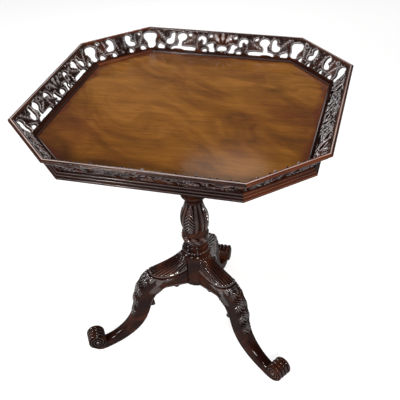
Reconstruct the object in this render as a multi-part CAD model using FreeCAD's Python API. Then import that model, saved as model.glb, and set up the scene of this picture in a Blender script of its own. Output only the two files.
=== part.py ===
import FreeCAD, Part
import math
import os

# Tilt-top tea table: an eight-sided tray with a pierced gallery, on a turned pillar and three legs.
# Millimetres. The pillar's axis is Z, the floor is z = 0, and the front of the tray faces -Y.

# ---- driving dimensions: the tray ----
table_height = 737.0
tray_width = 700.0            # across the rim, flat to flat
corner_cut = 142.0            # taken off each corner, along both sides
board_thickness = 12.0
tray_depth = 50.0             # board's top below the rim's top

rim_width = 11.0
rim_height = 6.5
rim_bead_bulge = 1.1
rim_crown = 1.0               # rise of the rim's rounded top
rim_inner_bulge = 0.8
rim_groove = 1.5              # depth of the gallery's tongue in the rim

panel_thickness = 5.0         # square to the leaning face
panel_foot_offset = 37.5      # outer face at the foot, in from the rim's outer edge
panel_head_offset = 2.8       # outer face at the head

moulding_height = 17.0
moulding_setback = 29.0       # outer face, in from the rim's outer edge
moulding_width = 24.0
moulding_batter = 7.5         # outer face leans in over its height
moulding_lip = 7.0            # wood in front of the board's edge
moulding_groove = 3.0         # depth of the gallery's tongue in the moulding
reed_count = 3
reed_bulge = 1.6
reed_gap = 0.6                # flat quirk between reeds
cove_height = 4.5             # inner quarter round of the moulding
mitre_margin = 10.0           # mitring tool past the members on each side
tool_margin = 1.0             # cutting tools past the faces they open
outline_match = 0.01          # height within which an edge ends where its outline ends

# ---- driving dimensions: the piercing of the gallery ----
pierced_head = 5.0            # solid wood over the highest openings; the lowest reach the moulding
# Openings of half a panel, each a smooth loop through its points. A point is its distance from the
# panel's middle over half the panel's length at its foot, then its height over the pierced band's.
long_openings = {
    "corner": ((0.970, 0.0), (1.030, 0.0), (1.050, 0.20), (1.110, 0.45), (1.120, 0.70), (1.060, 0.83),
               (0.990, 0.84), (0.960, 0.76), (0.953, 0.56), (0.958, 0.30)),
    "stem": ((0.812, 0.0), (0.900, 0.0), (0.908, 0.16), (0.885, 0.27), (0.850, 0.19)),
    "outer_scroll": ((0.691, 0.90), (0.714, 0.96), (0.737, 0.90), (0.742, 0.76), (0.750, 0.64),
                     (0.786, 0.58), (0.799, 0.46), (0.781, 0.32), (0.740, 0.27), (0.699, 0.32),
                     (0.683, 0.50), (0.683, 0.72)),
    "lobe": ((0.521, 0.62), (0.519, 0.82), (0.555, 0.95), (0.601, 0.95), (0.642, 0.84), (0.645, 0.68),
             (0.624, 0.55), (0.621, 0.38), (0.627, 0.10), (0.580, 0.10), (0.575, 0.34), (0.555, 0.52)),
    "long_slot": ((0.722, 0.02), (0.690, 0.17), (0.620, 0.21), (0.488, 0.20), (0.401, 0.18),
                  (0.368, 0.10), (0.376, 0.0), (0.539, 0.0), (0.690, 0.0)),
    "leaf_tip": ((0.444, 0.83), (0.478, 0.83), (0.493, 0.94), (0.475, 0.97)),
    "inner_scroll": ((0.342, 0.62), (0.349, 0.74), (0.329, 0.84), (0.288, 0.87), (0.249, 0.80),
                     (0.231, 0.66), (0.236, 0.48), (0.257, 0.38), (0.275, 0.44), (0.272, 0.58),
                     (0.288, 0.67), (0.313, 0.65), (0.326, 0.58)),
    "foot_arch": ((0.270, 0.0), (0.268, 0.09), (0.240, 0.14), (0.213, 0.10), (0.207, 0.0)),
    "shell_side": ((0.169, 0.47), (0.144, 0.50), (0.126, 0.42), (0.121, 0.28), (0.105, 0.14),
                   (0.095, 0.0), (0.134, 0.0), (0.169, 0.0), (0.175, 0.16), (0.190, 0.28),
                   (0.211, 0.36), (0.200, 0.43)),
    "shell_top": ((0.154, 0.86), (0.185, 0.84), (0.195, 0.94), (0.164, 0.97)),
}
canted_openings = {
    "corner": ((0.905, 0.0), (1.060, 0.0), (1.150, 0.20), (1.240, 0.45), (1.240, 0.75), (1.080, 0.87),
               (0.930, 0.87), (0.862, 0.78), (0.842, 0.62), (0.872, 0.46), (0.905, 0.34), (0.890, 0.17)),
    "leaf_foot": ((0.640, 0.0), (0.789, 0.0), (0.766, 0.16), (0.686, 0.23), (0.630, 0.14)),
    "leaf_tip": ((0.697, 0.87), (0.754, 0.87), (0.777, 0.96), (0.709, 0.97)),
    "scroll": ((0.274, 1.00), (0.377, 0.98), (0.423, 0.86), (0.389, 0.76), (0.377, 0.66), (0.434, 0.58),
               (0.491, 0.50), (0.480, 0.38), (0.377, 0.34), (0.274, 0.38), (0.223, 0.52), (0.206, 0.72),
               (0.217, 0.88)),
    "scroll_foot": ((0.358, 0.0), (0.347, 0.13), (0.291, 0.22), (0.240, 0.14), (0.229, 0.0)),
}
# Opening under the shell at the middle of a long panel, a loop on both sides of the middle.
shell_arch = ((0.062, 0.14), (0.059, 0.27), (0.036, 0.35), (0.0, 0.37), (-0.036, 0.35), (-0.059, 0.27),
              (-0.062, 0.14), (0.0, 0.115))

# ---- driving dimensions: bearers, block and pivots ----
bearer_width = 30.0
bearer_height = 30.0
bearer_length = 480.0
bearer_end_height = 13.0
bearer_end_run = 95.0
bearer_end_hollow = 4.3       # sag of the curve under each end
pivot_drop = 16.0             # pivot axis below the board's underside
pivot_setback = 66.0          # pivot axis in front of the pillar's axis
pintle_radius = 7.0
pintle_length = 15.0
running_gap = 0.05            # radial clearance of the pintles
rest_gap = 0.3                # between faces that only meet at rest
side_gap = 0.5                # between the block and each bearer
block_width = 140.0
block_height = 32.0
block_back = 76.0             # back face, behind the pillar's axis
block_chamfer = 6.0
pintle_root = 5.0             # pintle inside the block

# ---- driving dimensions: pillar ----
tenon_radius = 17.0
tenon_recess = 0.5            # end of the tenon below the block's top
wedge_depth = 22.0
wedge_top = 4.0
wedge_tip = 1.6
wedge_inset = 0.5             # end of the wedge inside the tenon's round
drum_radius = 37.0
drum_bottom = 181.0
drum_height = 99.0
# Turned outline above the drum: radius, height above the drum's top, swell of the arc that leads there.
turning_above_drum = (
    (32.5, 0.0, 0.0),
    (32.5, 9.0, 1.4),         # ring that carries the pearls
    (28.8, 12.0, -0.6),
    (28.0, 23.0, 3.0),        # polished ring
    (27.5, 30.0, -0.6),       # waist
    (34.0, 43.0, 1.3),
    (34.0, 54.0, 0.5),        # leaf collar
    (30.4, 68.0, -1.0),
    (36.2, 92.0, 0.9),        # vase
    (29.0, 126.0, 2.6),
    (22.0, 150.0, -0.7),      # neck
    (22.3, 156.0, 0.8),
    (32.0, 169.0, -1.0),
    (32.0, 178.0, 1.8),       # platform of the shaft
    (26.0, 184.0, -1.2),
    (26.0, 192.0, 2.4),
    (22.5, 200.0, -1.4),
)
# Turned outline under the block: radius, depth below the block, swell of the arc that leads there.
turning_under_block = (
    (19.0, 30.7, 0.8),        # tapering shaft
    (19.0, 23.7, 2.6),
    (26.0, 6.7, -2.4),        # cap
    (26.0, 0.0, 0.0),
)

# ---- driving dimensions: legs ----
leg_turns = {"left": 210.0, "right": 330.0, "back": 90.0}
leg_width = 42.0              # at the drum
leg_foot_width = 27.0         # at the outer end of the foot
leg_upper_rounding = 13.0     # radius on the long edges of the leg's upper side
leg_lower_rounding = 6.0
foot_reach = 289.0            # centre of the foot's scroll, out from the axis
foot_height = 37.5            # centre of the scroll above the floor
foot_radius = 24.0
foot_width = 46.0
foot_ridges = 4
ridge_depth = 2.0
ridge_share = (0.3, 0.7)      # crest of a ridge over its pitch
lug_radius = 6.0              # scroll ends on the underside of the leg
lug_width = 34.0
# Outlines of the leg seen from its side: distance out from the drum, and height.
leg_upper = (
    (-6.0, 281.0), (7.0, 266.0), (22.0, 257.0), (42.0, 248.0), (62.0, 241.0), (82.0, 234.0),
    (102.0, 222.5), (118.0, 206.0), (131.0, 180.0), (140.0, 147.0), (144.0, 115.0), (154.5, 88.0),
    (176.0, 61.0), (205.0, 40.5), (235.0, 31.0),
)
leg_lower = (
    (266.0, 20.0), (262.0, 7.0), (248.0, -0.4), (231.0, 1.0), (213.0, 7.5), (191.0, 17.0),
    (161.0, 34.0), (133.0, 57.0), (113.0, 84.0), (101.0, 112.0), (93.0, 136.0), (82.0, 157.0),
    (67.0, 171.0), (47.0, 181.0),
)
leg_lugs = ((91.0, 131.0), (23.0, 178.0))
leg_drawn_reach = 252.0       # centre of the foot's scroll out from the drum in these outlines
leg_drawn_height = 181.0      # underside of the drum in these outlines
dovetail_depth = 15.0
dovetail_shoulder = 4.0       # run of the dovetail into the leg, past the drum's surface
dovetail_neck = 19.0
dovetail_root = 25.0
dovetail_height = 73.0

# ---- driving dimensions: metalwork ----
strap_thickness = 3.0
strap_reach = 54.0
strap_width = 18.0
strap_hub_radius = 24.0
screw_shank_radius = 2.0
screw_head_radius = 4.0
screw_head_depth = 2.4
screw_gap = 0.05
strap_screw_length = 26.0
bearer_screw_length = 28.0
bearer_screw_places = (-185.0, 150.0)
bearer_screw_cover = 3.0      # wood left above the screw's tip
hole_end_gap = 0.5            # screw hole past its screw's tip
counterbore_radius = 5.0
brass_screw_shank_radius = 1.4
brass_screw_head_radius = 2.8
brass_screw_head_depth = 1.6
brass_screw_length = 10.0

bolt_width = 14.0
bolt_depth = 7.0
bolt_length = 46.0
bolt_travel = 10.0
bolt_nose_gap = 3.0           # withdrawn nose to the keeper's face
bolt_nose_bevel = 3.0
slide_gap = 0.2
case_wall = 2.4
case_roof = 2.0
case_length = 34.0
case_nose = 6.0               # length of bolt that shows in front of the case when withdrawn
plate_reach = 4.0             # plate in front of the case
plate_thickness = 2.0
plate_width = 44.0
plate_length = 54.0
plate_screw_inset = 5.5
knob_radius = 6.0
knob_neck_radius = 2.2
knob_drop = 13.0              # centre of the knob below the bolt
knob_inset = 14.0             # knob from the back end of the bolt
knob_cover = 1.0              # bolt left above the knob's neck
keeper_thickness = 2.0
keeper_width = 46.0
keeper_height = 20.0
keeper_screw_inset = 6.0
keeper_drop = 0.5             # top of the keeper below the block's top
mortise_depth = 14.0
mortise_gap = 0.6

# ---- places worked out from the driving dimensions ----
mitre_slope = math.tan(math.radians(22.5))
half_width = tray_width / 2
board_top = table_height - tray_depth
side_run = half_width - corner_cut                      # half length of a long side of the rim
canted_reach = (half_width + side_run) / math.sqrt(2)   # centre to a canted side
canted_run = corner_cut / math.sqrt(2)                  # half length of a canted side
board_bottom = board_top - board_thickness
moulding_top = board_bottom + moulding_height
rim_bottom = table_height - rim_height
board_edge = moulding_setback + moulding_lip
lean_run = panel_foot_offset - panel_head_offset
lean_rise = rim_bottom - moulding_top
lean_length = math.hypot(lean_run, lean_rise)
panel_level_thickness = panel_thickness * lean_length / lean_rise
pivot_height = board_bottom - pivot_drop
block_top = board_bottom - rest_gap
block_bottom = block_top - block_height
block_front = -pivot_setback - (pivot_drop - rest_gap)
bearer_place = block_width / 2 + side_gap + bearer_width / 2
bearer_screw_tip = board_top - bearer_screw_cover
bearer_screw_head = bearer_screw_tip - bearer_screw_length
tenon_top = block_top - tenon_recess
drum_top = drum_bottom + drum_height
dovetail_top = drum_bottom + dovetail_height
leg_stretch_out = (foot_reach - drum_radius) / leg_drawn_reach
leg_stretch_up = drum_bottom / leg_drawn_height
keeper_back = block_back + keeper_thickness
keeper_low = block_top - keeper_drop - keeper_height
keeper_middle = keeper_low + keeper_height / 2
strap_end_radius = strap_width / 2
strap_screw_reach = strap_reach - strap_end_radius
bolt_nose = keeper_back + bolt_nose_gap
bolt_top = board_bottom - plate_thickness - case_roof - slide_gap
bolt_middle = bolt_top - bolt_depth / 2
bolt_low = bolt_top - bolt_depth
knob_place = bolt_nose + bolt_length - knob_inset
case_front = bolt_nose + case_nose
plate_front = case_front - plate_reach
side_names = ("right", "back_right", "back", "back_left", "left", "front_left", "front", "front_right")


def vector(x, y, z):
    return FreeCAD.Vector(x, y, z)


def line(start, end):
    return Part.makeLine(start, end)


def bulged(start, end, rise, side):
    """Arc from start to end that swells by rise towards the direction side, or a line for no swell."""
    if rise == 0:
        return line(start, end)
    middle = (start + end) * 0.5 + side * rise
    return Part.Arc(start, middle, end).toShape()


def solid_of_profile(edges, sweep):
    return Part.Face(Part.Wire(edges)).extrude(sweep)


def prism(corners, sweep):
    return Part.Face(Part.makePolygon(corners + corners[:1])).extrude(sweep)


def cylinder(radius, length, base, direction=vector(0, 0, 1)):
    return Part.makeCylinder(radius, length, base, direction)


def turned(shape, degrees, axis=vector(0, 0, 1)):
    copy = shape.copy()
    copy.rotate(vector(0, 0, 0), axis, degrees)
    return copy


def moved(shape, offset):
    copy = shape.copy()
    copy.translate(offset)
    return copy


def save(name, shape):
    shape.exportStep(os.path.join("parts", name + ".step"))


def tray_outline(offset, height):
    """Corners of the eight-sided outline, offset inwards from the rim's outer edge."""
    flat = half_width - offset
    end = (canted_reach - offset) * math.sqrt(2) - flat
    quarter = [(flat, -end), (flat, end), (end, flat), (-end, flat)]
    corners = quarter + [(-x, -y) for x, y in quarter]
    return [vector(x, y, height) for x, y in corners]


# ---- tray: board, mouldings, gallery and rim ----

def mitre_wedge(reach, run):
    """Plan of one side between its two mitres, tall enough for every member of the side."""
    outer = mitre_margin
    inner = moulding_setback + moulding_width + mitre_margin
    low = board_bottom - mitre_margin
    plan = [
        vector(reach + outer, run + outer * mitre_slope, low),
        vector(reach + outer, -run - outer * mitre_slope, low),
        vector(reach - inner, -run + inner * mitre_slope, low),
        vector(reach - inner, run - inner * mitre_slope, low),
    ]
    return prism(plan, vector(0, 0, table_height + mitre_margin - low))


def side_member(profile, reach, run):
    """Extrudes a profile drawn at x = -offset along one side and cuts both mitres."""
    length = run + 2 * mitre_margin
    bar = moved(profile, vector(reach, -length, 0)).extrude(vector(0, 2 * length, 0))
    return bar.common(mitre_wedge(reach, run))


def panel_profile(low, high):
    """Section of the leaning gallery between two heights."""
    slope = lean_run / lean_rise
    low_face = -panel_foot_offset + (low - moulding_top) * slope
    high_face = -panel_foot_offset + (high - moulding_top) * slope
    corners = [
        vector(low_face, 0, low),
        vector(high_face, 0, high),
        vector(high_face - panel_level_thickness, 0, high),
        vector(low_face - panel_level_thickness, 0, low),
    ]
    return Part.Face(Part.makePolygon(corners + corners[:1]))


def moulding_profile():
    """Section of the base moulding: reeds outside, a lip over the board's edge, a quarter round inside."""
    inner = -moulding_setback - moulding_width
    toe = vector(-moulding_setback, 0, board_bottom)
    crown = vector(-moulding_setback - moulding_batter, 0, moulding_top)
    reed = (crown - toe) / reed_count
    quirk = reed * (reed_gap / 2 / reed.Length)
    out = vector(reed.z, 0, -reed.x).normalize()
    edges = []
    for index in range(reed_count):
        low = toe + reed * index
        top = low + reed
        foot = low + quirk
        head = top - quirk
        edges += [line(low, foot), bulged(foot, head, reed_bulge, out), line(head, top)]
    cove_start = vector(inner + cove_height, 0, moulding_top)
    cove_end = vector(inner, 0, moulding_top - cove_height)
    cove_side = vector(-1, 0, 1).normalize()
    cove_rise = cove_height * (1 - math.sqrt(0.5))
    seat = [
        vector(inner, 0, board_top),
        vector(-board_edge, 0, board_top),
        vector(-board_edge, 0, board_bottom),
    ]
    edges += [line(crown, cove_start), bulged(cove_start, cove_end, cove_rise, cove_side)]
    edges += [line(cove_end, seat[0]), line(seat[0], seat[1]), line(seat[1], seat[2])]
    edges.append(line(seat[2], toe))
    section = Part.Face(Part.Wire(edges))
    return section.cut(panel_profile(moulding_top - moulding_groove, moulding_top + tool_margin))


def rim_profile():
    """Section of the rim: two beads outside, a rounded top and a groove below for the gallery."""
    low = rim_bottom
    waist = low + (rim_height - rim_crown) / 2
    top = table_height - rim_crown
    outer = -rim_bead_bulge
    foot = vector(outer, 0, low)
    middle = vector(outer, 0, waist)
    shoulder = vector(outer, 0, top)
    crown = vector(-rim_width + rim_inner_bulge, 0, top)
    heel = vector(-rim_width + rim_inner_bulge, 0, low)
    out = vector(1, 0, 0)
    edges = [
        bulged(foot, middle, rim_bead_bulge, out),
        bulged(middle, shoulder, rim_bead_bulge, out),
        bulged(shoulder, crown, rim_crown, vector(0, 0, 1)),
        bulged(crown, heel, rim_inner_bulge, vector(-1, 0, 0)),
        line(heel, foot),
    ]
    section = Part.Face(Part.Wire(edges))
    return section.cut(panel_profile(rim_bottom - tool_margin, rim_bottom + rim_groove))


def opening_loop(points, half_length):
    """Face of one opening, u along and v up the lean, with arcs laid along a smooth loop."""
    band = lean_length - pierced_head
    places = [vector(along * half_length, height * band, 0) for along, height in points]
    loop = Part.BSplineCurve()
    loop.interpolate(places, PeriodicFlag=True)
    knots = loop.getKnots()
    edges = []
    for start, end in zip(knots, knots[1:]):
        middle = loop.value((start + end) / 2)
        edges.append(Part.Arc(loop.value(start), middle, loop.value(end)).toShape())
    return Part.Face(Part.Wire(edges))


def pierced_tools(openings, middle, half_length):
    """Prisms that cut all openings of one panel, the second half a mirror of the first."""
    faces = [opening_loop(points, half_length) for points in openings.values()]
    faces += [face.mirror(vector(0, 0, 0), vector(1, 0, 0)) for face in faces]
    faces += [opening_loop(points, half_length) for points in middle]
    back = vector(0, 0, -panel_level_thickness - tool_margin)
    return [moved(face, back).extrude(back * -2) for face in faces]


def gallery_panel(reach, run, openings, middle):
    """One leaning side of the gallery with its tongues and openings."""
    profile = panel_profile(moulding_top - moulding_groove, rim_bottom + rim_groove)
    panel = side_member(profile, reach, run)
    along = vector(0, 1, 0)
    up = vector(lean_run, 0, lean_rise).normalize()
    face = along.cross(up)
    foot = vector(reach - panel_foot_offset, 0, moulding_top)
    place = FreeCAD.Matrix(
        along.x, up.x, face.x, foot.x,
        along.y, up.y, face.y, foot.y,
        along.z, up.z, face.z, foot.z,
        0, 0, 0, 1)
    half_length = run - panel_foot_offset * mitre_slope
    for tool in pierced_tools(openings, middle, half_length):
        panel = panel.cut(tool.transformed(place))
    return panel


def make_sides(prefix, long_side, canted_side):
    for index, name in enumerate(side_names):
        side = canted_side if index % 2 else long_side
        save(prefix + "_" + name, turned(side, 45.0 * index))


def bearer_centres():
    return (-bearer_place, bearer_place)


def bearer_screw_points():
    return [(x, y) for x in bearer_centres() for y in bearer_screw_places]


def wood_screw(tip, head, shank_radius, head_radius, head_depth, length):
    """Countersunk screw from the head's face at head towards tip, length long."""
    axis = (tip - head).normalize()
    cone = Part.makeCone(head_radius, shank_radius, head_depth, head, axis)
    shank = Part.makeCylinder(shank_radius, length - head_depth, head + axis * head_depth, axis)
    return cone.fuse(shank).removeSplitter()


def plate_screw_points():
    front = plate_front + plate_screw_inset
    back = plate_front + plate_length - plate_screw_inset
    side = plate_width / 2 - plate_screw_inset
    return [(x, y) for x in (-side, side) for y in (front, back)]


def make_board():
    board = prism(tray_outline(board_edge, board_bottom), vector(0, 0, board_thickness))
    up = vector(0, 0, 1)
    holes = []
    for x, y in bearer_screw_points():
        radius = screw_shank_radius + screw_gap
        depth = bearer_screw_tip - board_bottom + hole_end_gap
        holes.append(cylinder(radius, depth, vector(x, y, board_bottom), up))
    for x, y in plate_screw_points():
        radius = brass_screw_shank_radius + screw_gap
        depth = brass_screw_length - plate_thickness + hole_end_gap
        holes.append(cylinder(radius, depth, vector(x, y, board_bottom), up))
    return board.cut(Part.makeCompound(holes))


def make_bearer(x):
    """A bearer with hollowed ends, a blind pivot hole facing the block and counterbored screw holes."""
    half = bearer_length / 2
    top = board_bottom
    low = top - bearer_height
    end = top - bearer_end_height
    left = x - bearer_width / 2
    corners = [
        vector(left, -half, top),
        vector(left, -half, end),
        vector(left, -half + bearer_end_run, low),
        vector(left, half - bearer_end_run, low),
        vector(left, half, end),
        vector(left, half, top),
    ]
    down = vector(0, 0, -1)
    edges = [
        line(corners[0], corners[1]),
        bulged(corners[1], corners[2], -bearer_end_hollow, down),
        line(corners[2], corners[3]),
        bulged(corners[3], corners[4], -bearer_end_hollow, down),
        line(corners[4], corners[5]),
        line(corners[5], corners[0]),
    ]
    bearer = solid_of_profile(edges, vector(bearer_width, 0, 0))
    inward = vector(-math.copysign(1, x), 0, 0)
    mouth = vector(x, -pivot_setback, pivot_height) + inward * (bearer_width / 2)
    depth = pintle_length - side_gap + rest_gap
    holes = [cylinder(pintle_radius + running_gap, depth, mouth, inward * -1)]
    for y in bearer_screw_places:
        foot = vector(x, y, low - tool_margin)
        holes.append(cylinder(counterbore_radius, bearer_screw_head - foot.z, foot))
        holes.append(cylinder(screw_shank_radius + screw_gap, top + tool_margin - foot.z, foot))
        head = vector(x, y, bearer_screw_head)
        holes.append(Part.makeCone(screw_head_radius + screw_gap, screw_shank_radius + screw_gap,
                                   screw_head_depth, head, vector(0, 0, 1)))
    return bearer.cut(Part.makeCompound(holes))


def make_bearer_screws():
    screws = []
    for x, y in bearer_screw_points():
        head = vector(x, y, bearer_screw_head)
        tip = vector(x, y, bearer_screw_tip)
        screws.append(wood_screw(tip, head, screw_shank_radius, screw_head_radius,
                                 screw_head_depth, bearer_screw_length))
    return Part.makeCompound(screws)


# ---- block, pillar and wedge ----

def make_block():
    """Pillar block with its round front edge, its two pintles, the tenon hole and the bolt's mortise."""
    left = -block_width / 2
    nose = pivot_drop - rest_gap
    pivot = vector(left, -pivot_setback, pivot_height)
    front_low = vector(left, block_front, block_bottom + block_chamfer)
    front_high = vector(left, block_front, pivot_height)
    over = pivot + vector(0, 0, nose)
    diagonal = pivot + vector(0, -nose, nose) * math.sqrt(0.5)
    back_high = vector(left, block_back, block_top)
    back_low = vector(left, block_back, block_bottom + block_chamfer)
    under_back = vector(left, block_back - block_chamfer, block_bottom)
    under_front = vector(left, block_front + block_chamfer, block_bottom)
    edges = [
        line(front_low, front_high),
        Part.Arc(front_high, diagonal, over).toShape(),
        line(over, back_high),
        line(back_high, back_low),
        line(back_low, under_back),
        line(under_back, under_front),
        line(under_front, front_low),
    ]
    block = solid_of_profile(edges, vector(block_width, 0, 0))
    for sign in (-1, 1):
        base = vector(sign * (block_width / 2 - pintle_root), -pivot_setback, pivot_height)
        block = block.fuse(cylinder(pintle_radius, pintle_length + pintle_root, base, vector(sign, 0, 0)))
    mortise_width = bolt_width + 2 * mortise_gap
    mortise_height = bolt_depth + 2 * mortise_gap
    mortise_corner = vector(-mortise_width / 2, block_back - mortise_depth, bolt_middle - mortise_height / 2)
    mortise = Part.makeBox(mortise_width, mortise_depth, mortise_height, mortise_corner)
    bore_foot = vector(0, 0, block_bottom - tool_margin)
    tools = [mortise, cylinder(tenon_radius, block_top + tool_margin - bore_foot.z, bore_foot)]
    for x in (-1, 1):
        point = vector(x * (keeper_width / 2 - keeper_screw_inset), block_back, keeper_middle)
        depth = brass_screw_length - keeper_thickness + hole_end_gap
        tools.append(cylinder(brass_screw_shank_radius + screw_gap, depth, point, vector(0, -1, 0)))
    return block.cut(Part.makeCompound(tools)).removeSplitter()


def wedge_shape():
    """Tapered wedge across the top of the pillar's tenon."""
    top = tenon_top
    half = math.sqrt(tenon_radius ** 2 - wedge_top ** 2) - wedge_inset
    corners = [
        vector(-half, -wedge_top / 2, top),
        vector(-half, wedge_top / 2, top),
        vector(-half, wedge_tip / 2, top - wedge_depth),
        vector(-half, -wedge_tip / 2, top - wedge_depth),
    ]
    return prism(corners, vector(2 * half, 0, 0))


def pillar_profile():
    """Half section of the turned pillar: drum, rings, vase and shaft, then the tenon on top."""
    out = vector(1, 0, 0)
    place = vector(drum_radius, 0, drum_top)
    edges = [
        line(vector(0, 0, drum_bottom), vector(drum_radius, 0, drum_bottom)),
        line(vector(drum_radius, 0, drum_bottom), place),
    ]
    stages = [(radius, drum_top + height, swell) for radius, height, swell in turning_above_drum]
    stages += [(radius, block_bottom - depth, swell) for radius, depth, swell in turning_under_block]
    for radius, height, swell in stages:
        following = vector(radius, 0, height)
        edges.append(bulged(place, following, swell, out))
        place = following
    corners = [
        place,
        vector(tenon_radius, 0, block_bottom),
        vector(tenon_radius, 0, tenon_top),
        vector(0, 0, tenon_top),
        vector(0, 0, drum_bottom),
    ]
    edges += [line(start, end) for start, end in zip(corners, corners[1:])]
    return Part.Face(Part.Wire(edges))


def dovetail(height_low, height_high):
    """Dovetail key of a leg: its root lies inside the drum, its neck just outside the surface."""
    neck = drum_radius + dovetail_shoulder
    root = drum_radius - dovetail_depth
    corners = [
        vector(root, -dovetail_root / 2, height_low),
        vector(neck, -dovetail_neck / 2, height_low),
        vector(neck, dovetail_neck / 2, height_low),
        vector(root, dovetail_root / 2, height_low),
    ]
    return prism(corners, vector(0, 0, height_high - height_low))


def make_pillar():
    body = pillar_profile().revolve(vector(0, 0, 0), vector(0, 0, 1), 360)
    tools = [wedge_shape()]
    for turn in leg_turns.values():
        tools.append(turned(dovetail(drum_bottom - tool_margin, dovetail_top), turn))
    screw_bore = cylinder(screw_shank_radius + screw_gap, strap_screw_length, vector(0, 0, drum_bottom))
    tools.append(screw_bore)
    return body.cut(Part.makeCompound(tools))


# ---- legs ----

def leg_point(point):
    """Point of the drawn outline, stretched to the foot's reach and the drum's height."""
    out, height = point
    return vector(drum_radius + out * leg_stretch_out, 0, height * leg_stretch_up)


def leg_curve(points):
    """Smooth edge through points of the leg's outline."""
    curve = Part.BSplineCurve()
    curve.interpolate([leg_point(point) for point in points])
    return curve.toShape()


def foot_scroll():
    """Ribbed roll of the foot, its axis across the leg."""
    pitch = foot_width / foot_ridges
    points = [vector(0, -foot_width / 2, 0)]
    for ridge in range(foot_ridges):
        low = -foot_width / 2 + ridge * pitch
        points.append(vector(foot_radius - ridge_depth, low, 0))
        points.append(vector(foot_radius, low + pitch * ridge_share[0], 0))
        points.append(vector(foot_radius, low + pitch * ridge_share[1], 0))
    points.append(vector(foot_radius - ridge_depth, foot_width / 2, 0))
    points.append(vector(0, foot_width / 2, 0))
    section = Part.Face(Part.makePolygon(points + points[:1]))
    roll = section.revolve(vector(0, 0, 0), vector(0, 1, 0), 360)
    return moved(roll, vector(foot_reach, 0, foot_height))


def leg_blank():
    """The leg as sawn from its plank, with the long edges rounded over."""
    inner_high = leg_point(leg_upper[0])
    inner_low = vector(inner_high.x, 0, drum_bottom)
    toe = line(leg_point(leg_upper[-1]), leg_point(leg_lower[0]))
    under = line(leg_point(leg_lower[-1]), inner_low)
    inner = line(inner_low, inner_high)
    outline = Part.Face(Part.Wire([leg_curve(leg_upper), toe, leg_curve(leg_lower), under, inner]))
    blank = moved(outline, vector(0, -leg_width / 2, 0)).extrude(vector(0, leg_width, 0))
    blank = blank.common(leg_plan(inner_low.x))
    for points, radius in ((leg_lower, leg_lower_rounding), (leg_upper, leg_upper_rounding)):
        blank = rounded_over(blank, points, radius)
    return blank


def leg_plan(inner):
    """Plan of the leg, whose two sides draw in along an arc towards the foot."""
    half = leg_width / 2
    half_at_foot = leg_foot_width / 2
    outer = foot_reach + foot_radius
    low = -foot_height
    start = vector(inner, half, low)
    middle = vector((inner + outer) / 2, half - (half - half_at_foot) / 4, low)
    end = vector(outer, half_at_foot, low)
    mirrored = [vector(point.x, -point.y, low) for point in (end, middle, start)]
    edges = [
        Part.Arc(start, middle, end).toShape(),
        line(end, mirrored[0]),
        Part.Arc(*mirrored).toShape(),
        line(mirrored[-1], start),
    ]
    return solid_of_profile(edges, vector(0, 0, 2 * drum_top))


def rounded_over(blank, points, radius):
    """Rounds the two long edges of the leg that run between the ends of this outline."""
    ends = sorted(leg_point(point).z for point in (points[0], points[-1]))
    edges = []
    for edge in blank.Edges:
        heights = sorted(vertex.Point.z for vertex in edge.Vertexes)
        if len(heights) == 2 and max(abs(a - b) for a, b in zip(heights, ends)) < outline_match:
            edges.append(edge)
    return blank.makeFillet(radius, edges)


def make_leg():
    """One leg along +X: blank, foot scroll and lugs, scribed to the drum, with its dovetail."""
    shape = leg_blank().fuse(foot_scroll())
    for point in leg_lugs:
        end = leg_point(point) - vector(0, lug_width / 2, 0)
        shape = shape.fuse(cylinder(lug_radius, lug_width, end, vector(0, 1, 0)))
    below = foot_radius + foot_height
    floor = Part.makeBox(2 * foot_reach, 2 * foot_width, below, vector(0, -foot_width, -below))
    drum = cylinder(drum_radius, 2 * drum_top, vector(0, 0, 0))
    shape = shape.cut(Part.makeCompound([floor, drum]))
    shape = shape.fuse(dovetail(drum_bottom, dovetail_top)).removeSplitter()
    screw_foot = vector(strap_screw_reach, 0, drum_bottom)
    bore = cylinder(screw_shank_radius + screw_gap, strap_screw_length, screw_foot)
    return shape.cut(bore)


# ---- metalwork ----

def make_strap():
    """Three-armed iron plate under the pillar, countersunk for its screws."""
    low = drum_bottom - strap_thickness
    plate = cylinder(strap_hub_radius, strap_thickness, vector(0, 0, low))
    for turn in leg_turns.values():
        arm = Part.makeBox(strap_screw_reach, strap_width, strap_thickness, vector(0, -strap_end_radius, low))
        arm = arm.fuse(cylinder(strap_end_radius, strap_thickness, vector(strap_screw_reach, 0, low)))
        plate = plate.fuse(turned(arm, turn))
    plate = plate.removeSplitter()
    sinks = []
    for point in strap_screw_points():
        sinks.append(Part.makeCone(screw_head_radius + screw_gap, screw_shank_radius + screw_gap,
                                   screw_head_depth, point, vector(0, 0, 1)))
        sinks.append(cylinder(screw_shank_radius + screw_gap, strap_thickness, point))
    return plate.cut(Part.makeCompound(sinks))


def strap_screw_points():
    low = drum_bottom - strap_thickness
    points = [vector(0, 0, low)]
    for turn in leg_turns.values():
        angle = math.radians(turn)
        points.append(vector(strap_screw_reach * math.cos(angle), strap_screw_reach * math.sin(angle), low))
    return points


def make_strap_screws():
    screws = []
    for point in strap_screw_points():
        tip = point + vector(0, 0, strap_screw_length)
        screws.append(wood_screw(tip, point, screw_shank_radius, screw_head_radius,
                                 screw_head_depth, strap_screw_length))
    return Part.makeCompound(screws)


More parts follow.
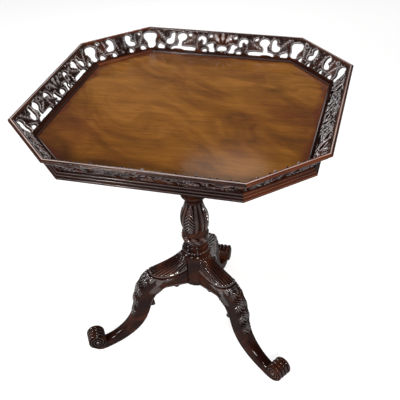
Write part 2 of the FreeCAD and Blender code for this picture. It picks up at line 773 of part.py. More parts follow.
def make_catch_case():
    """Brass plate under the board with the tunnel that guides the bolt, slotted below for its knob."""
    plate = Part.makeBox(plate_width, plate_length, plate_thickness,
                         vector(-plate_width / 2, plate_front, board_bottom - plate_thickness))
    outer = bolt_width + 2 * (slide_gap + case_wall)
    drop = case_roof + bolt_depth + 2 * slide_gap + case_wall
    case = Part.makeBox(outer, case_length, drop,
                        vector(-outer / 2, case_front, board_bottom - plate_thickness - drop))
    inner = bolt_width + 2 * slide_gap
    tunnel = Part.makeBox(inner, case_length + 2 * case_nose, bolt_depth + 2 * slide_gap,
                          vector(-inner / 2, case_front - case_nose, bolt_low - slide_gap))
    slot_width = 2 * (knob_neck_radius + slide_gap)
    slot_front = knob_place - bolt_travel - knob_neck_radius - slide_gap
    slot = Part.makeBox(slot_width, bolt_travel + slot_width, drop,
                        vector(-slot_width / 2, slot_front, bolt_low - drop))
    tools = [tunnel, slot]
    for x, y in plate_screw_points():
        low = vector(x, y, board_bottom - plate_thickness)
        up = vector(0, 0, 1)
        tools.append(Part.makeCone(brass_screw_head_radius + screw_gap, brass_screw_shank_radius + screw_gap,
                                   brass_screw_head_depth, low, up))
        tools.append(cylinder(brass_screw_shank_radius + screw_gap, plate_thickness, low))
    return plate.fuse(case).cut(Part.makeCompound(tools)).removeSplitter()


def make_bolt():
    """Flat bolt with a bevelled nose, at rest withdrawn from the keeper."""
    half = bolt_width / 2
    corners = [
        vector(-half, bolt_nose, bolt_top),
        vector(-half, bolt_nose + bolt_length, bolt_top),
        vector(-half, bolt_nose + bolt_length, bolt_low),
        vector(-half, bolt_nose + bolt_nose_bevel, bolt_low),
        vector(-half, bolt_nose, bolt_low + bolt_nose_bevel),
    ]
    bar = prism(corners, vector(bolt_width, 0, 0))
    return bar.cut(cylinder(knob_neck_radius, bolt_depth, vector(0, knob_place, bolt_low - knob_cover)))


def make_knob():
    """Turned brass knob, its neck let into the bolt."""
    centre = vector(0, knob_place, bolt_low - knob_drop)
    ball = Part.makeSphere(knob_radius, centre)
    neck = cylinder(knob_neck_radius, knob_drop + bolt_depth - knob_cover, centre)
    return ball.fuse(neck).removeSplitter()


def make_catch_screws():
    screws = []
    for x, y in plate_screw_points():
        head = vector(x, y, board_bottom - plate_thickness)
        tip = head + vector(0, 0, brass_screw_length)
        screws.append(wood_screw(tip, head, brass_screw_shank_radius, brass_screw_head_radius,
                                 brass_screw_head_depth, brass_screw_length))
    return Part.makeCompound(screws)


def keeper_screw_points():
    place = keeper_width / 2 - keeper_screw_inset
    return [vector(x, keeper_back, keeper_middle) for x in (-place, place)]


def make_keeper():
    """Brass keeper on the block's back face, with the hole that takes the bolt."""
    plate = Part.makeBox(keeper_width, keeper_thickness, keeper_height,
                         vector(-keeper_width / 2, block_back, keeper_low))
    hole_width = bolt_width + 2 * mortise_gap
    hole_height = bolt_depth + 2 * mortise_gap
    hole = Part.makeBox(hole_width, keeper_thickness, hole_height,
                        vector(-hole_width / 2, block_back, bolt_middle - hole_height / 2))
    tools = [hole]
    for point in keeper_screw_points():
        inward = vector(0, -1, 0)
        tools.append(Part.makeCone(brass_screw_head_radius + screw_gap, brass_screw_shank_radius + screw_gap,
                                   brass_screw_head_depth, point, inward))
        tools.append(cylinder(brass_screw_shank_radius + screw_gap, keeper_thickness, point, inward))
    return plate.cut(Part.makeCompound(tools))


def make_keeper_screws():
    screws = []
    for point in keeper_screw_points():
        tip = point + vector(0, -brass_screw_length, 0)
        screws.append(wood_screw(tip, point, brass_screw_shank_radius, brass_screw_head_radius,
                                 brass_screw_head_depth, brass_screw_length))
    return Part.makeCompound(screws)


def main():
    os.makedirs("parts", exist_ok=True)
    save("tray_board", make_board())
    moulding = moulding_profile()
    rim = rim_profile()
    make_sides("base_moulding", side_member(moulding, half_width, side_run),
               side_member(moulding, canted_reach, canted_run))
    make_sides("gallery_panel", gallery_panel(half_width, side_run, long_openings, (shell_arch,)),
               gallery_panel(canted_reach, canted_run, canted_openings, ()))
    make_sides("rim_rail", side_member(rim, half_width, side_run), side_member(rim, canted_reach, canted_run))
    for name, x in zip(("left", "right"), bearer_centres()):
        save("bearer_" + name, make_bearer(x))
    save("bearer_screws", make_bearer_screws())
    save("tilt_block", make_block())
    save("pillar", make_pillar())
    save("tenon_wedge", wedge_shape())
    leg = make_leg()
    for name, turn in leg_turns.items():
        save("leg_" + name, turned(leg, turn))
    save("strap_plate", make_strap())
    save("strap_screws", make_strap_screws())
    save("catch_case", make_catch_case())
    save("catch_bolt", make_bolt())
    save("catch_knob", make_knob())
    save("catch_screws", make_catch_screws())
    save("keeper_plate", make_keeper())
    save("keeper_screws", make_keeper_screws())


main()
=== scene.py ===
import math

import bpy
import numpy as np
from mathutils import Matrix, Vector
from mathutils.kdtree import KDTree


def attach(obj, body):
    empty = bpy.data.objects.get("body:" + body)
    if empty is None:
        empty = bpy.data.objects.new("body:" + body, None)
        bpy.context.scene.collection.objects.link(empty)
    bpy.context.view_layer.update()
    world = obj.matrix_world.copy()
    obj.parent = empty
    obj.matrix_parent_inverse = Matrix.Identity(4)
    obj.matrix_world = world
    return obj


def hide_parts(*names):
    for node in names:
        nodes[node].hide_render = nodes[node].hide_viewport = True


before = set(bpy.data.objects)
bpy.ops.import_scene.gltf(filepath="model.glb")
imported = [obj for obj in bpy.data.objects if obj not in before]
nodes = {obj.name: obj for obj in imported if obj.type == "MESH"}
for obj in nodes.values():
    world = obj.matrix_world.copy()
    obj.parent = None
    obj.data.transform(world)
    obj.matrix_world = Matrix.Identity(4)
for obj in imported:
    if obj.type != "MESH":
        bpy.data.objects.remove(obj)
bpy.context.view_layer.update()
bpy.context.scene.view_settings.view_transform = "Standard"
print("frame loaded,", len(nodes), "nodes")

sideNames = ["right", "back_right", "back", "back_left", "left", "front_left", "front", "front_right"]


def pickOnly(piece):
    bpy.ops.object.select_all(action="DESELECT")
    piece.select_set(True)
    bpy.context.view_layer.objects.active = piece


def getPoints(piece):
    points = np.empty(len(piece.data.vertices) * 3, np.float32)
    piece.data.vertices.foreach_get("co", points)
    return points.reshape(-1, 3).astype(float) * 1000  # works in mm


def setPoints(piece, points):
    piece.data.vertices.foreach_set("co", (points / 1000).astype(np.float32).ravel())
    piece.data.update()


def getNormals(piece):
    normals = np.empty(len(piece.data.vertices) * 3, np.float32)
    piece.data.vertex_normals.foreach_get("vector", normals)
    return normals.reshape(-1, 3).astype(float)


def turnPoints(points, degrees):
    c, s = math.cos(math.radians(degrees)), math.sin(math.radians(degrees))
    return np.column_stack([points[:, 0] * c - points[:, 1] * s,
                            points[:, 0] * s + points[:, 1] * c, points[:, 2]])


def ease(low, high, value):
    t = np.clip((value - low) / (high - low), 0, 1)
    return t * t * (3 - 2 * t)


def nearestOf(places, x, y):
    # which of the flat places is nearest to each point, and how far away it is
    tree = KDTree(len(places))
    for index, (a, b) in enumerate(places):
        tree.insert((a, b, 0), index)
    tree.balance()
    found = [tree.find((a, b, 0)) for a, b in zip(x, y)]
    return np.array([item[1] for item in found]), np.array([item[2] for item in found])


def skinOf(nodeName, pieceName, voxel):
    # a merged copy of a CAD node, rebuilt with an even skin fine enough to carve
    piece = nodes[nodeName].copy()
    piece.data = nodes[nodeName].data.copy()
    piece.name = pieceName
    for key in list(piece.keys()):
        del piece[key]
    piece.parent = None
    bpy.context.scene.collection.objects.link(piece)
    pickOnly(piece)
    bpy.ops.object.mode_set(mode="EDIT")
    bpy.ops.mesh.select_all(action="SELECT")
    bpy.ops.mesh.remove_doubles(threshold=0.000002)
    bpy.ops.object.mode_set(mode="OBJECT")
    skin = piece.modifiers.new("skin", "REMESH")
    skin.mode = "VOXEL"
    skin.voxel_size = voxel
    bpy.ops.object.modifier_apply(modifier=skin.name)
    bpy.ops.object.shade_smooth()
    return piece


def copyOf(piece, name, move):
    # a copy with its own mesh, moved within that mesh
    other = piece.copy()
    other.data = piece.data.copy()
    other.name = name
    bpy.context.scene.collection.objects.link(other)
    other.data.transform(move)
    return other


def turnedCopy(piece, name, degrees):
    return copyOf(piece, name, Matrix.Rotation(math.radians(degrees), 4, "Z"))


def markRelief(piece, shade):
    # 0 in the hollows, 0.5 on plain wood, 1 on the ridges; the finish reads it to paint shade into the
    # hollows and sheen onto the ridges
    layer = piece.data.attributes.new("relief", "FLOAT", "POINT")
    layer.data.foreach_set("value", np.clip(shade, 0, 1).astype(np.float32))


def dress(piece, material):
    piece.data.materials.clear()
    piece.data.materials.append(material)


camera = {"place": (0.44183, -1.47385, 1.50952), "yaw": -0.2812, "pitch": 0.61086, "roll": -0.03812,
          "lens": 67.449, "sensor": 36.0}

lamps = [
    # name, place, aimed at, size across, size up, watts, colour
    ("lampKey", (1.15, -2.35, 1.85), (0.0, 0.0, 0.45), 0.34, 0.60, 68.0, (1.0, 0.97, 0.93)),
    ("lampFront", (-0.95, -2.4, 1.85), (0.0, 0.0, 0.4), 0.26, 0.20, 48.0, (1.0, 0.98, 0.96)),
    ("lampLeft", (-2.1, -0.9, 1.45), (0.0, 0.0, 0.4), 0.3, 0.6, 34.0, (0.96, 0.98, 1.0)),
    ("lampHigh", (0.4, -1.7, 3.0), (0.0, 0.2, 0.7), 0.22, 0.14, 11.0, (1.0, 0.98, 0.96)),
    ("lampTop", (-0.3, 0.55, 2.3), (0.0, 0.2, 0.7), 1.2, 0.3, 9.0, (1.0, 0.94, 0.90)),
    ("lampBack", (-0.42, 2.05, 2.2), (0.0, 0.0, 0.6), 0.5, 0.18, 0.24, (1.0, 0.95, 0.85)),
    ("lampRear", (-0.9, 2.3, 1.2), (0.0, 0.0, 0.4), 0.4, 0.3, 9.0, (0.97, 0.98, 1.0)),
]

room = {
    "horizon": 1.0, "ceiling": 0.08, "darkens": (0.10, 0.48),  # brightness, and where it falls off
    "fill": 0.16,  # light from all round
    "floorColour": (0.66, 0.66, 0.66), "floorGlow": 0.80, "floorShade": (0.34, 0.34, 0.34),
    "floorSize": 14, "floorDrop": 0.0004,
}


def addCamera():
    yaw, pitch, roll = camera["yaw"], camera["pitch"], camera["roll"]
    ahead = Vector((math.sin(yaw) * math.cos(pitch), math.cos(yaw) * math.cos(pitch), -math.sin(pitch)))
    right = ahead.cross(Vector((0, 0, 1))).normalized()
    up = right.cross(ahead)
    x = right * math.cos(roll) + up * math.sin(roll)
    y = up * math.cos(roll) - right * math.sin(roll)
    bpy.ops.object.camera_add(location=camera["place"])
    cam = bpy.context.object
    cam.name = "viewCamera"
    cam.matrix_world = Matrix.Translation(camera["place"]) @ Matrix((x, y, -ahead)).transposed().to_4x4()
    cam.data.lens = camera["lens"]
    cam.data.sensor_width = camera["sensor"]
    bpy.context.scene.camera = cam


def addLamps():
    for name, place, aim, across, up, watts, colour in lamps:
        bpy.ops.object.light_add(type="AREA", location=place)
        lamp = bpy.context.object
        lamp.name = name
        lamp.data.shape = "ELLIPSE"
        lamp.data.size = across
        lamp.data.size_y = up
        lamp.data.energy = watts
        lamp.data.color = colour
        lamp.rotation_euler = (Vector(aim) - Vector(place)).to_track_quat("-Z", "Y").to_euler()


def seenDirectly(tree):
    # 1 for rays from the camera, from gloss and through glass
    path = tree.nodes.new("ShaderNodeLightPath")
    first = tree.nodes.new("ShaderNodeMath")
    first.operation = "MAXIMUM"
    tree.links.new(path.outputs["Is Camera Ray"], first.inputs[0])
    tree.links.new(path.outputs["Is Glossy Ray"], first.inputs[1])
    second = tree.nodes.new("ShaderNodeMath")
    second.operation = "MAXIMUM"
    tree.links.new(first.outputs[0], second.inputs[0])
    tree.links.new(path.outputs["Is Transmission Ray"], second.inputs[1])
    return second.outputs[0]


def addRoom():
    world = bpy.data.worlds.new("room")
    bpy.context.scene.world = world
    world.use_nodes = True
    tree = world.node_tree
    tree.nodes.clear()
    plain = tree.nodes.new("ShaderNodeBackground")
    plain.inputs["Color"].default_value = (1, 1, 1, 1)
    plain.inputs["Strength"].default_value = room["fill"]
    # white backdrop that darkens overhead, like the roof of a studio
    place = tree.nodes.new("ShaderNodeTexCoord")
    split = tree.nodes.new("ShaderNodeSeparateXYZ")
    tree.links.new(place.outputs["Generated"], split.inputs[0])
    shade = tree.nodes.new("ShaderNodeMapRange")
    shade.interpolation_type = "SMOOTHSTEP"
    shade.inputs["From Min"].default_value, shade.inputs["From Max"].default_value = room["darkens"]
    shade.inputs["To Min"].default_value = room["horizon"]
    shade.inputs["To Max"].default_value = room["ceiling"]
    tree.links.new(split.outputs["Z"], shade.inputs["Value"])
    white = tree.nodes.new("ShaderNodeBackground")
    white.inputs["Color"].default_value = (1, 1, 1, 1)
    tree.links.new(shade.outputs[0], white.inputs["Strength"])
    mix = tree.nodes.new("ShaderNodeMixShader")
    out = tree.nodes.new("ShaderNodeOutputWorld")
    tree.links.new(seenDirectly(tree), mix.inputs["Fac"])
    tree.links.new(plain.outputs[0], mix.inputs[1])
    tree.links.new(white.outputs[0], mix.inputs[2])
    tree.links.new(mix.outputs[0], out.inputs["Surface"])

    bpy.ops.mesh.primitive_plane_add(size=room["floorSize"], location=(0, 0, -room["floorDrop"]))
    floor = bpy.context.object
    floor.name = "floor"
    paint = bpy.data.materials.new("floorPaint")
    paint.use_nodes = True
    tree = paint.node_tree
    tree.nodes.clear()
    matt = tree.nodes.new("ShaderNodeBsdfDiffuse")
    matt.inputs["Color"].default_value = (*room["floorColour"], 1)
    faint = tree.nodes.new("ShaderNodeBsdfDiffuse")
    faint.inputs["Color"].default_value = (*room["floorShade"], 1)
    glow = tree.nodes.new("ShaderNodeEmission")
    glow.inputs["Strength"].default_value = room["floorGlow"]
    bright = tree.nodes.new("ShaderNodeAddShader")  # white, with the object's shadow left in
    mix = tree.nodes.new("ShaderNodeMixShader")
    out = tree.nodes.new("ShaderNodeOutputMaterial")
    tree.links.new(faint.outputs[0], bright.inputs[0])
    tree.links.new(glow.outputs[0], bright.inputs[1])
    tree.links.new(seenDirectly(tree), mix.inputs["Fac"])
    tree.links.new(matt.outputs[0], mix.inputs[1])
    tree.links.new(bright.outputs[0], mix.inputs[2])
    tree.links.new(mix.outputs[0], out.inputs["Surface"])
    dress(floor, paint)


woods = {
    "carved": {
        "dark": (0.006, 0.0018, 0.0014), "middle": (0.017, 0.0046, 0.0028), "light": (0.070, 0.0180, 0.0056),
        "stretch": (4.0, 17.0, 17.0), "pores": (40, 500, 500), "roughness": 0.15,
        "poreBump": 0.00002, "cloud": 7.0, "shine": 0.0, "gloss": 0.10, "tooling": 0.00022,
    },
    "moulding": {
        "dark": (0.007, 0.0022, 0.0018), "middle": (0.019, 0.0058, 0.0036), "light": (0.052, 0.0165, 0.0070),
        "stretch": (4.0, 60.0, 60.0), "pores": (22, 500, 500), "roughness": 0.18,
        "poreBump": 0.00002, "cloud": 6.0, "shine": 0.0, "gloss": 0.11, "tooling": 0.00004,
    },
    "rail": {
        "dark": (0.010, 0.003, 0.0022), "middle": (0.032, 0.010, 0.0055), "light": (0.085, 0.027, 0.011),
        "stretch": (4.0, 60.0, 60.0), "pores": (22, 500, 500), "roughness": 0.20,
        "poreBump": 0.00002, "cloud": 6.0, "shine": 0.0, "gloss": 0.22, "tooling": 0.00004,
    },
    "plain": {
        "dark": (0.055, 0.020, 0.010), "middle": (0.12, 0.048, 0.022), "light": (0.20, 0.085, 0.04),
        "stretch": (3.0, 55.0, 55.0), "pores": (18, 420, 420), "roughness": 0.5,
        "poreBump": 0.00006, "cloud": 5.0, "shine": 0.4, "gloss": 0.0, "tooling": 0.00012,
    },
}

polish = {"ior": 1.9, "smoother": 0.04, "inHollows": 0.02}  # a hard, bright shellac over the wood

# painted sheen on the high places, painted shade in the hollows, which are left rough with wax
paintedRelief = {"paintedSheen": (0.24, 0.18, 0.165), "paintedRelief": 0.10, "ridgeFrom": 0.68, "gloss": 0.7,
        "hollowShade": (0.08, 0.06, 0.055), "waxRoughness": 0.4}
# the gallery: a brighter, silver painted sheen on more of its ridges, and darker painted shade in its hollows
galleryPaintedRelief = {**paintedRelief, "paintedSheen": (0.42, 0.38, 0.385), "paintedRelief": 0.5, "ridgeFrom": 0.74, "hollowShade": (0.06, 0.05, 0.05)}

# painted highlight lines along the rim's crown and the reeds' crests: places in metres, and along one reed as
# shares of its pitch
edgeHighlights = {
    "halfAcross": 0.350, "cornerReach": 0.39457, "colour": (0.60, 0.47, 0.44),
    "crown": 0.3446, "crownWidth": 0.0036, "rimLow": 0.7335, "crownBrightness": 0.8,
    "reedLow": 0.675, "reedHigh": 0.692, "reedPitch": 0.005667,
    "reedTop": 0.62, "reedWidth": 0.42, "reedBrightness": 0.07,
}

litSideTones = {0: 0.65, 45: 2.3, 90: 0.9, 135: 1.0}  # painted light and shade: each side's wood lighter or darker by its angle


def sideLitWood(look, tone):
    # the same wood, painted lighter or darker for the light on its side, and warmer as it gets lighter
    warm = (tone ** 1.2, tone, tone ** 0.6)
    toned = {shade: tuple(part * share for part, share in zip(look[shade], warm))
             for shade in ("dark", "middle", "light")}
    return {**look, **toned}


trayTop = {
    "dark": (0.122, 0.046, 0.008), "middle": (0.220, 0.084, 0.011), "light": (0.32, 0.132, 0.022),
    "flameTurn": -32, "flame": (4.2, 8.5, 8.5), "lineTurn": 4, "lines": (5.0, 95.0, 95.0),
    "pores": (20, 520, 520), "poreBump": 0.00002,
    "shadeAcross": (-0.28, 0.26), "frontShade": (0.72, 0.68, 0.62),
    "red": (0.090, 0.020, 0.009), "reflectedBand": (0.276, 0.296), "bandWander": 0.03, "patchScale": 4.2,
    "patchSpread": (-0.95, 1.10), "mostRed": 0.85,
    "dust": (0.42, 0.38, 0.33), "dustGrid": 30.0, "dustSize": 0.022, "dustShare": 0.16,
    "roughness": 0.085, "halfAcross": 0.297, "cornerReach": 0.3416,
}


def wire(tree, start, end):
    tree.links.new(start, end)


def newMaterial(name):
    material = bpy.data.materials.new(name)
    material.use_nodes = True
    return material, material.node_tree, material.node_tree.nodes["Principled BSDF"]


def colourRamp(tree, value, stops):
    node = tree.nodes.new("ShaderNodeValToRGB")
    while len(node.color_ramp.elements) < len(stops):
        node.color_ramp.elements.new(0.5)
    for element, (place, colour) in zip(node.color_ramp.elements, stops):
        element.position = place
        element.color = (*colour, 1)
    wire(tree, value, node.inputs["Fac"])
    return node.outputs["Color"]


def mixColours(tree, kind, first, second, share):
    node = tree.nodes.new("ShaderNodeMix")
    node.data_type = "RGBA"
    node.blend_type = kind
    for socket, value in ((node.inputs[6], first), (node.inputs[7], second), (node.inputs[0], share)):
        if isinstance(value, bpy.types.NodeSocket):
            wire(tree, value, socket)
        elif isinstance(value, tuple):
            socket.default_value = (*value, 1)
        else:
            socket.default_value = value
    return node.outputs[2]


def mathNode(tree, kind, first, second):
    node = tree.nodes.new("ShaderNodeMath")
    node.operation = kind
    for socket, value in ((node.inputs[0], first), (node.inputs[1], second)):
        if isinstance(value, bpy.types.NodeSocket):
            wire(tree, value, socket)
        else:
            socket.default_value = value
    return node.outputs[0]


def spread(tree, value, low, high):
    # 0 to 1 becomes low to high
    node = tree.nodes.new("ShaderNodeMapRange")
    node.inputs["To Min"].default_value = low
    node.inputs["To Max"].default_value = high
    wire(tree, value, node.inputs["Value"])
    return node.outputs[0]


def shareOf(tree, value, low, high, kind="LINEAR"):
    # low to high becomes 0 to 1
    node = tree.nodes.new("ShaderNodeMapRange")
    node.interpolation_type = kind
    node.inputs["From Min"].default_value = low
    node.inputs["From Max"].default_value = high
    wire(tree, value, node.inputs["Value"])
    return node.outputs[0]


def bumpOf(tree, height, distance):
    node = tree.nodes.new("ShaderNodeBump")
    node.inputs["Distance"].default_value = distance
    wire(tree, height, node.inputs["Height"])
    return node


def objectSpace(tree, angle=0, scale=(1, 1, 1)):
    place = tree.nodes.new("ShaderNodeTexCoord")
    turn = tree.nodes.new("ShaderNodeMapping")
    turn.vector_type = "TEXTURE"
    turn.inputs["Rotation"].default_value = (0, 0, math.radians(angle))
    wire(tree, place.outputs["Object"], turn.inputs["Vector"])
    stretch = tree.nodes.new("ShaderNodeMapping")
    stretch.inputs["Scale"].default_value = scale
    wire(tree, turn.outputs["Vector"], stretch.inputs["Vector"])
    return stretch.outputs["Vector"]


def noise(tree, vector, scale, detail, roughness=0.55, distortion=0.0):
    node = tree.nodes.new("ShaderNodeTexNoise")
    node.inputs["Scale"].default_value = scale
    node.inputs["Detail"].default_value = detail
    node.inputs["Roughness"].default_value = roughness
    node.inputs["Distortion"].default_value = distortion
    wire(tree, vector, node.inputs["Vector"])
    return node.outputs["Fac"]


def outwardFromMiddle(tree, halfAcross, cornerReach):
    # distance from the tray's middle, in metres, even round all eight sides
    place = tree.nodes.new("ShaderNodeTexCoord")
    split = tree.nodes.new("ShaderNodeSeparateXYZ")
    wire(tree, place.outputs["Object"], split.inputs[0])
    x = mathNode(tree, "ABSOLUTE", split.outputs["X"], 0.0)
    y = mathNode(tree, "ABSOLUTE", split.outputs["Y"], 0.0)
    diagonal = mathNode(tree, "MULTIPLY", mathNode(tree, "ADD", x, y), math.sqrt(0.5))
    corner = mathNode(tree, "SUBTRACT", diagonal, cornerReach - halfAcross)
    return mathNode(tree, "MAXIMUM", mathNode(tree, "MAXIMUM", x, y), corner), split.outputs["Z"]


def lineAt(tree, value, middle, width):
    # 1 on the line, 0 beside it
    away = mathNode(tree, "ABSOLUTE", mathNode(tree, "SUBTRACT", value, middle), 0.0)
    return shareOf(tree, away, width / 2, width / 5, "SMOOTHSTEP")


def makeWood(name, look, angle, relief=None, edges=None):
    # angle is the way the grain runs, in degrees
    material, tree, skin = newMaterial(name)
    grain = noise(tree, objectSpace(tree, angle, look["stretch"]), 1.0, 7.0, 0.6, 0.7)
    colour = colourRamp(tree, grain, [(0.30, look["dark"]), (0.50, look["middle"]), (0.72, look["light"])])
    cloud = noise(tree, objectSpace(tree, angle), look["cloud"], 3.0)
    cloudShade = colourRamp(tree, cloud, [(0.32, (0.55, 0.50, 0.48)), (0.68, (1.25, 1.2, 1.15))])
    colour = mixColours(tree, "MULTIPLY", colour, cloudShade, 0.8)
    pores = noise(tree, objectSpace(tree, angle, look["pores"]), 1.0, 3.0, 0.6)
    poreShade = colourRamp(tree, pores, [(0.36, (0.35, 0.30, 0.28)), (0.52, (1, 1, 1))])
    colour = mixColours(tree, "MULTIPLY", colour, poreShade, 0.55)
    rough = spread(tree, noise(tree, objectSpace(tree), 24.0, 4.0),
                   look["roughness"] - 0.06, look["roughness"] + 0.10)
    if relief:
        # painted sheen on the high places, painted shade and rough wax in the hollows
        shape = tree.nodes.new("ShaderNodeAttribute")
        shape.attribute_name = "relief"
        low = colourRamp(tree, shape.outputs["Fac"], [(0.10, relief["hollowShade"]), (0.46, (1, 1, 1))])
        colour = mixColours(tree, "MULTIPLY", colour, low, 1.0)
        high = colourRamp(tree, shape.outputs["Fac"], [(relief["ridgeFrom"], (0, 0, 0)), (0.94, (1, 1, 1))])
        colour = mixColours(tree, "MIX", colour, relief["paintedSheen"], mathNode(
            tree, "MULTIPLY", high, relief["paintedRelief"]))
        glossAt = ((0.30, polish["inHollows"]), (0.50, look["gloss"]), (0.72, relief["gloss"]))
        polished = colourRamp(tree, shape.outputs["Fac"], [(place, (gloss,) * 3) for place, gloss in glossAt])
        wire(tree, polished, skin.inputs["Coat Weight"])
        hollow = spread(tree, low, relief["waxRoughness"], 0.0)
        rough = mathNode(tree, "MAXIMUM", rough, hollow)
    if edges:
        # painted highlight lines along the rim's crown and the reeds
        outward, height = outwardFromMiddle(tree, edges["halfAcross"], edges["cornerReach"])
        crownHighlight = lineAt(tree, outward, edges["crown"], edges["crownWidth"])
        onRim = mathNode(tree, "GREATER_THAN", height, edges["rimLow"])
        crownHighlight = mathNode(tree, "MULTIPLY", crownHighlight, onRim)
        reed = mathNode(tree, "FRACT", mathNode(tree, "DIVIDE", mathNode(
            tree, "SUBTRACT", height, edges["reedLow"]), edges["reedPitch"]), 0.0)
        onReeds = mathNode(tree, "LESS_THAN", height, edges["reedHigh"])
        reedLine = lineAt(tree, reed, edges["reedTop"], edges["reedWidth"])
        reedLine = mathNode(tree, "MULTIPLY", mathNode(tree, "MULTIPLY", reedLine, onReeds), edges["reedBrightness"])
        paintedSheen = mathNode(tree, "MAXIMUM", mathNode(tree, "MULTIPLY", crownHighlight, edges["crownBrightness"]), reedLine)
        patchy = spread(tree, noise(tree, objectSpace(tree), 16.0, 3.0), 0.2, 1.2)
        paintedSheen = mathNode(tree, "MULTIPLY", paintedSheen, patchy)
        colour = mixColours(tree, "MIX", colour, edges["colour"], paintedSheen)
    wire(tree, colour, skin.inputs["Base Color"])
    wire(tree, rough, skin.inputs["Roughness"])
    skin.inputs["Specular IOR Level"].default_value = look["shine"]
    skin.inputs["Coat Roughness"].default_value = look["roughness"] - polish["smoother"]
    skin.inputs["Coat IOR"].default_value = polish["ior"]
    if not relief:
        skin.inputs["Coat Weight"].default_value = look["gloss"]
    tooled = noise(tree, objectSpace(tree), 230.0, 2.0)  # uneven surface left by the tools
    tooling = bumpOf(tree, tooled, look["tooling"])
    bump = bumpOf(tree, pores, look["poreBump"])
    wire(tree, tooling.outputs["Normal"], bump.inputs["Normal"])
    wire(tree, bump.outputs["Normal"], skin.inputs["Normal"])
    return material


def makeTrayTop():
    material, tree, skin = newMaterial("trayWood")
    # broad flame figure, long with the grain
    flame = noise(tree, objectSpace(tree, trayTop["flameTurn"], trayTop["flame"]), 1.0, 6.0, 0.55, 1.1)
    colour = colourRamp(tree, flame, [(0.34, trayTop["dark"]), (0.50, trayTop["middle"]),
                                      (0.66, trayTop["light"])])
    lines = noise(tree, objectSpace(tree, trayTop["lineTurn"], trayTop["lines"]), 1.0, 5.0, 0.6, 0.5)
    lineShade = colourRamp(tree, lines, [(0.34, (0.82, 0.79, 0.76)), (0.62, (1.08, 1.08, 1.07))])
    colour = mixColours(tree, "MULTIPLY", colour, lineShade, 0.75)
    # painted shade: darker towards the front, full colour towards the back
    depth = tree.nodes.new("ShaderNodeSeparateXYZ")
    wire(tree, objectSpace(tree), depth.inputs[0])
    towardBack = shareOf(tree, depth.outputs["Y"], *trayTop["shadeAcross"])
    paintedFrontShade = colourRamp(tree, towardBack, [(0.0, trayTop["frontShade"]), (1.0, (1, 1, 1))])
    colour = mixColours(tree, "MULTIPLY", colour, paintedFrontShade, 1.0)
    # red patches in the wood, and a red band inside the mouldings painted as the reflection of the dark
    # gallery
    patch = noise(tree, objectSpace(tree), trayTop["patchScale"], 3.0, 0.5, 0.8)
    patchShare = spread(tree, patch, *trayTop["patchSpread"])
    outward, _ = outwardFromMiddle(tree, trayTop["halfAcross"], trayTop["cornerReach"])
    wander = spread(tree, noise(tree, objectSpace(tree), 14.0, 4.0),
                    -trayTop["bandWander"], trayTop["bandWander"])
    band = shareOf(tree, mathNode(tree, "ADD", outward, wander), *trayTop["reflectedBand"], "SMOOTHSTEP")
    reflectionShare = mathNode(tree, "MULTIPLY", band, trayTop["mostRed"])
    redShare = mathNode(tree, "MAXIMUM", reflectionShare, patchShare)
    limited = mathNode(tree, "MAXIMUM", mathNode(tree, "MINIMUM", redShare, trayTop["mostRed"]), 0.0)
    colour = mixColours(tree, "MIX", colour, trayTop["red"], limited)
    pores = noise(tree, objectSpace(tree, 0, trayTop["pores"]), 1.0, 3.0, 0.6)
    poreShade = colourRamp(tree, pores, [(0.34, (0.45, 0.40, 0.36)), (0.50, (1, 1, 1))])
    colour = mixColours(tree, "MULTIPLY", colour, poreShade, 0.5)
    # a few specks of dust
    speck = tree.nodes.new("ShaderNodeTexVoronoi")
    speck.inputs["Scale"].default_value = trayTop["dustGrid"]
    wire(tree, objectSpace(tree, 0, (1, 1, 0.01)), speck.inputs["Vector"])
    dot = mathNode(tree, "LESS_THAN", speck.outputs["Distance"], trayTop["dustSize"])
    chosen = tree.nodes.new("ShaderNodeSeparateColor")
    wire(tree, speck.outputs["Color"], chosen.inputs[0])
    few = mathNode(tree, "LESS_THAN", chosen.outputs[0], trayTop["dustShare"])
    colour = mixColours(tree, "MIX", colour, trayTop["dust"], mathNode(tree, "MULTIPLY", dot, few))
    wire(tree, colour, skin.inputs["Base Color"])
    haze = noise(tree, objectSpace(tree), 9.0, 5.0, 0.6, 0.6)
    rough = spread(tree, haze, trayTop["roughness"] - 0.04, trayTop["roughness"] + 0.08)
    wire(tree, rough, skin.inputs["Roughness"])
    wire(tree, bumpOf(tree, pores, trayTop["poreBump"]).outputs["Normal"], skin.inputs["Normal"])
    return material


metals = {
    # bright, dull, roughness, grime
    "agedBrass": ((0.62, 0.42, 0.16), (0.33, 0.20, 0.07), 0.32, (0.45, 0.36, 0.25)),
    "wroughtIron": ((0.075, 0.07, 0.065), (0.035, 0.03, 0.028), 0.55, (0.5, 0.42, 0.36)),
    "dullSteel": ((0.36, 0.35, 0.34), (0.20, 0.19, 0.18), 0.38, (0.5, 0.42, 0.36)),
}
metalBump = 0.00005


def makeMetal(name):
    bright, dull, roughness, grime = metals[name]
    material, tree, skin = newMaterial(name)
    patch = noise(tree, objectSpace(tree), 60.0, 6.0, 0.6, 0.4)
    colour = colourRamp(tree, patch, [(0.35, dull), (0.65, bright)])
    speck = noise(tree, objectSpace(tree), 900.0, 2.0)
    dirt = colourRamp(tree, speck, [(0.36, grime), (0.5, (1, 1, 1))])
    wire(tree, mixColours(tree, "MULTIPLY", colour, dirt, 0.6), skin.inputs["Base Color"])
    skin.inputs["Metallic"].default_value = 1.0
    wire(tree, spread(tree, patch, roughness + 0.14, roughness - 0.08), skin.inputs["Roughness"])
    wire(tree, bumpOf(tree, speck, metalBump).outputs["Normal"], skin.inputs["Normal"])
    return material


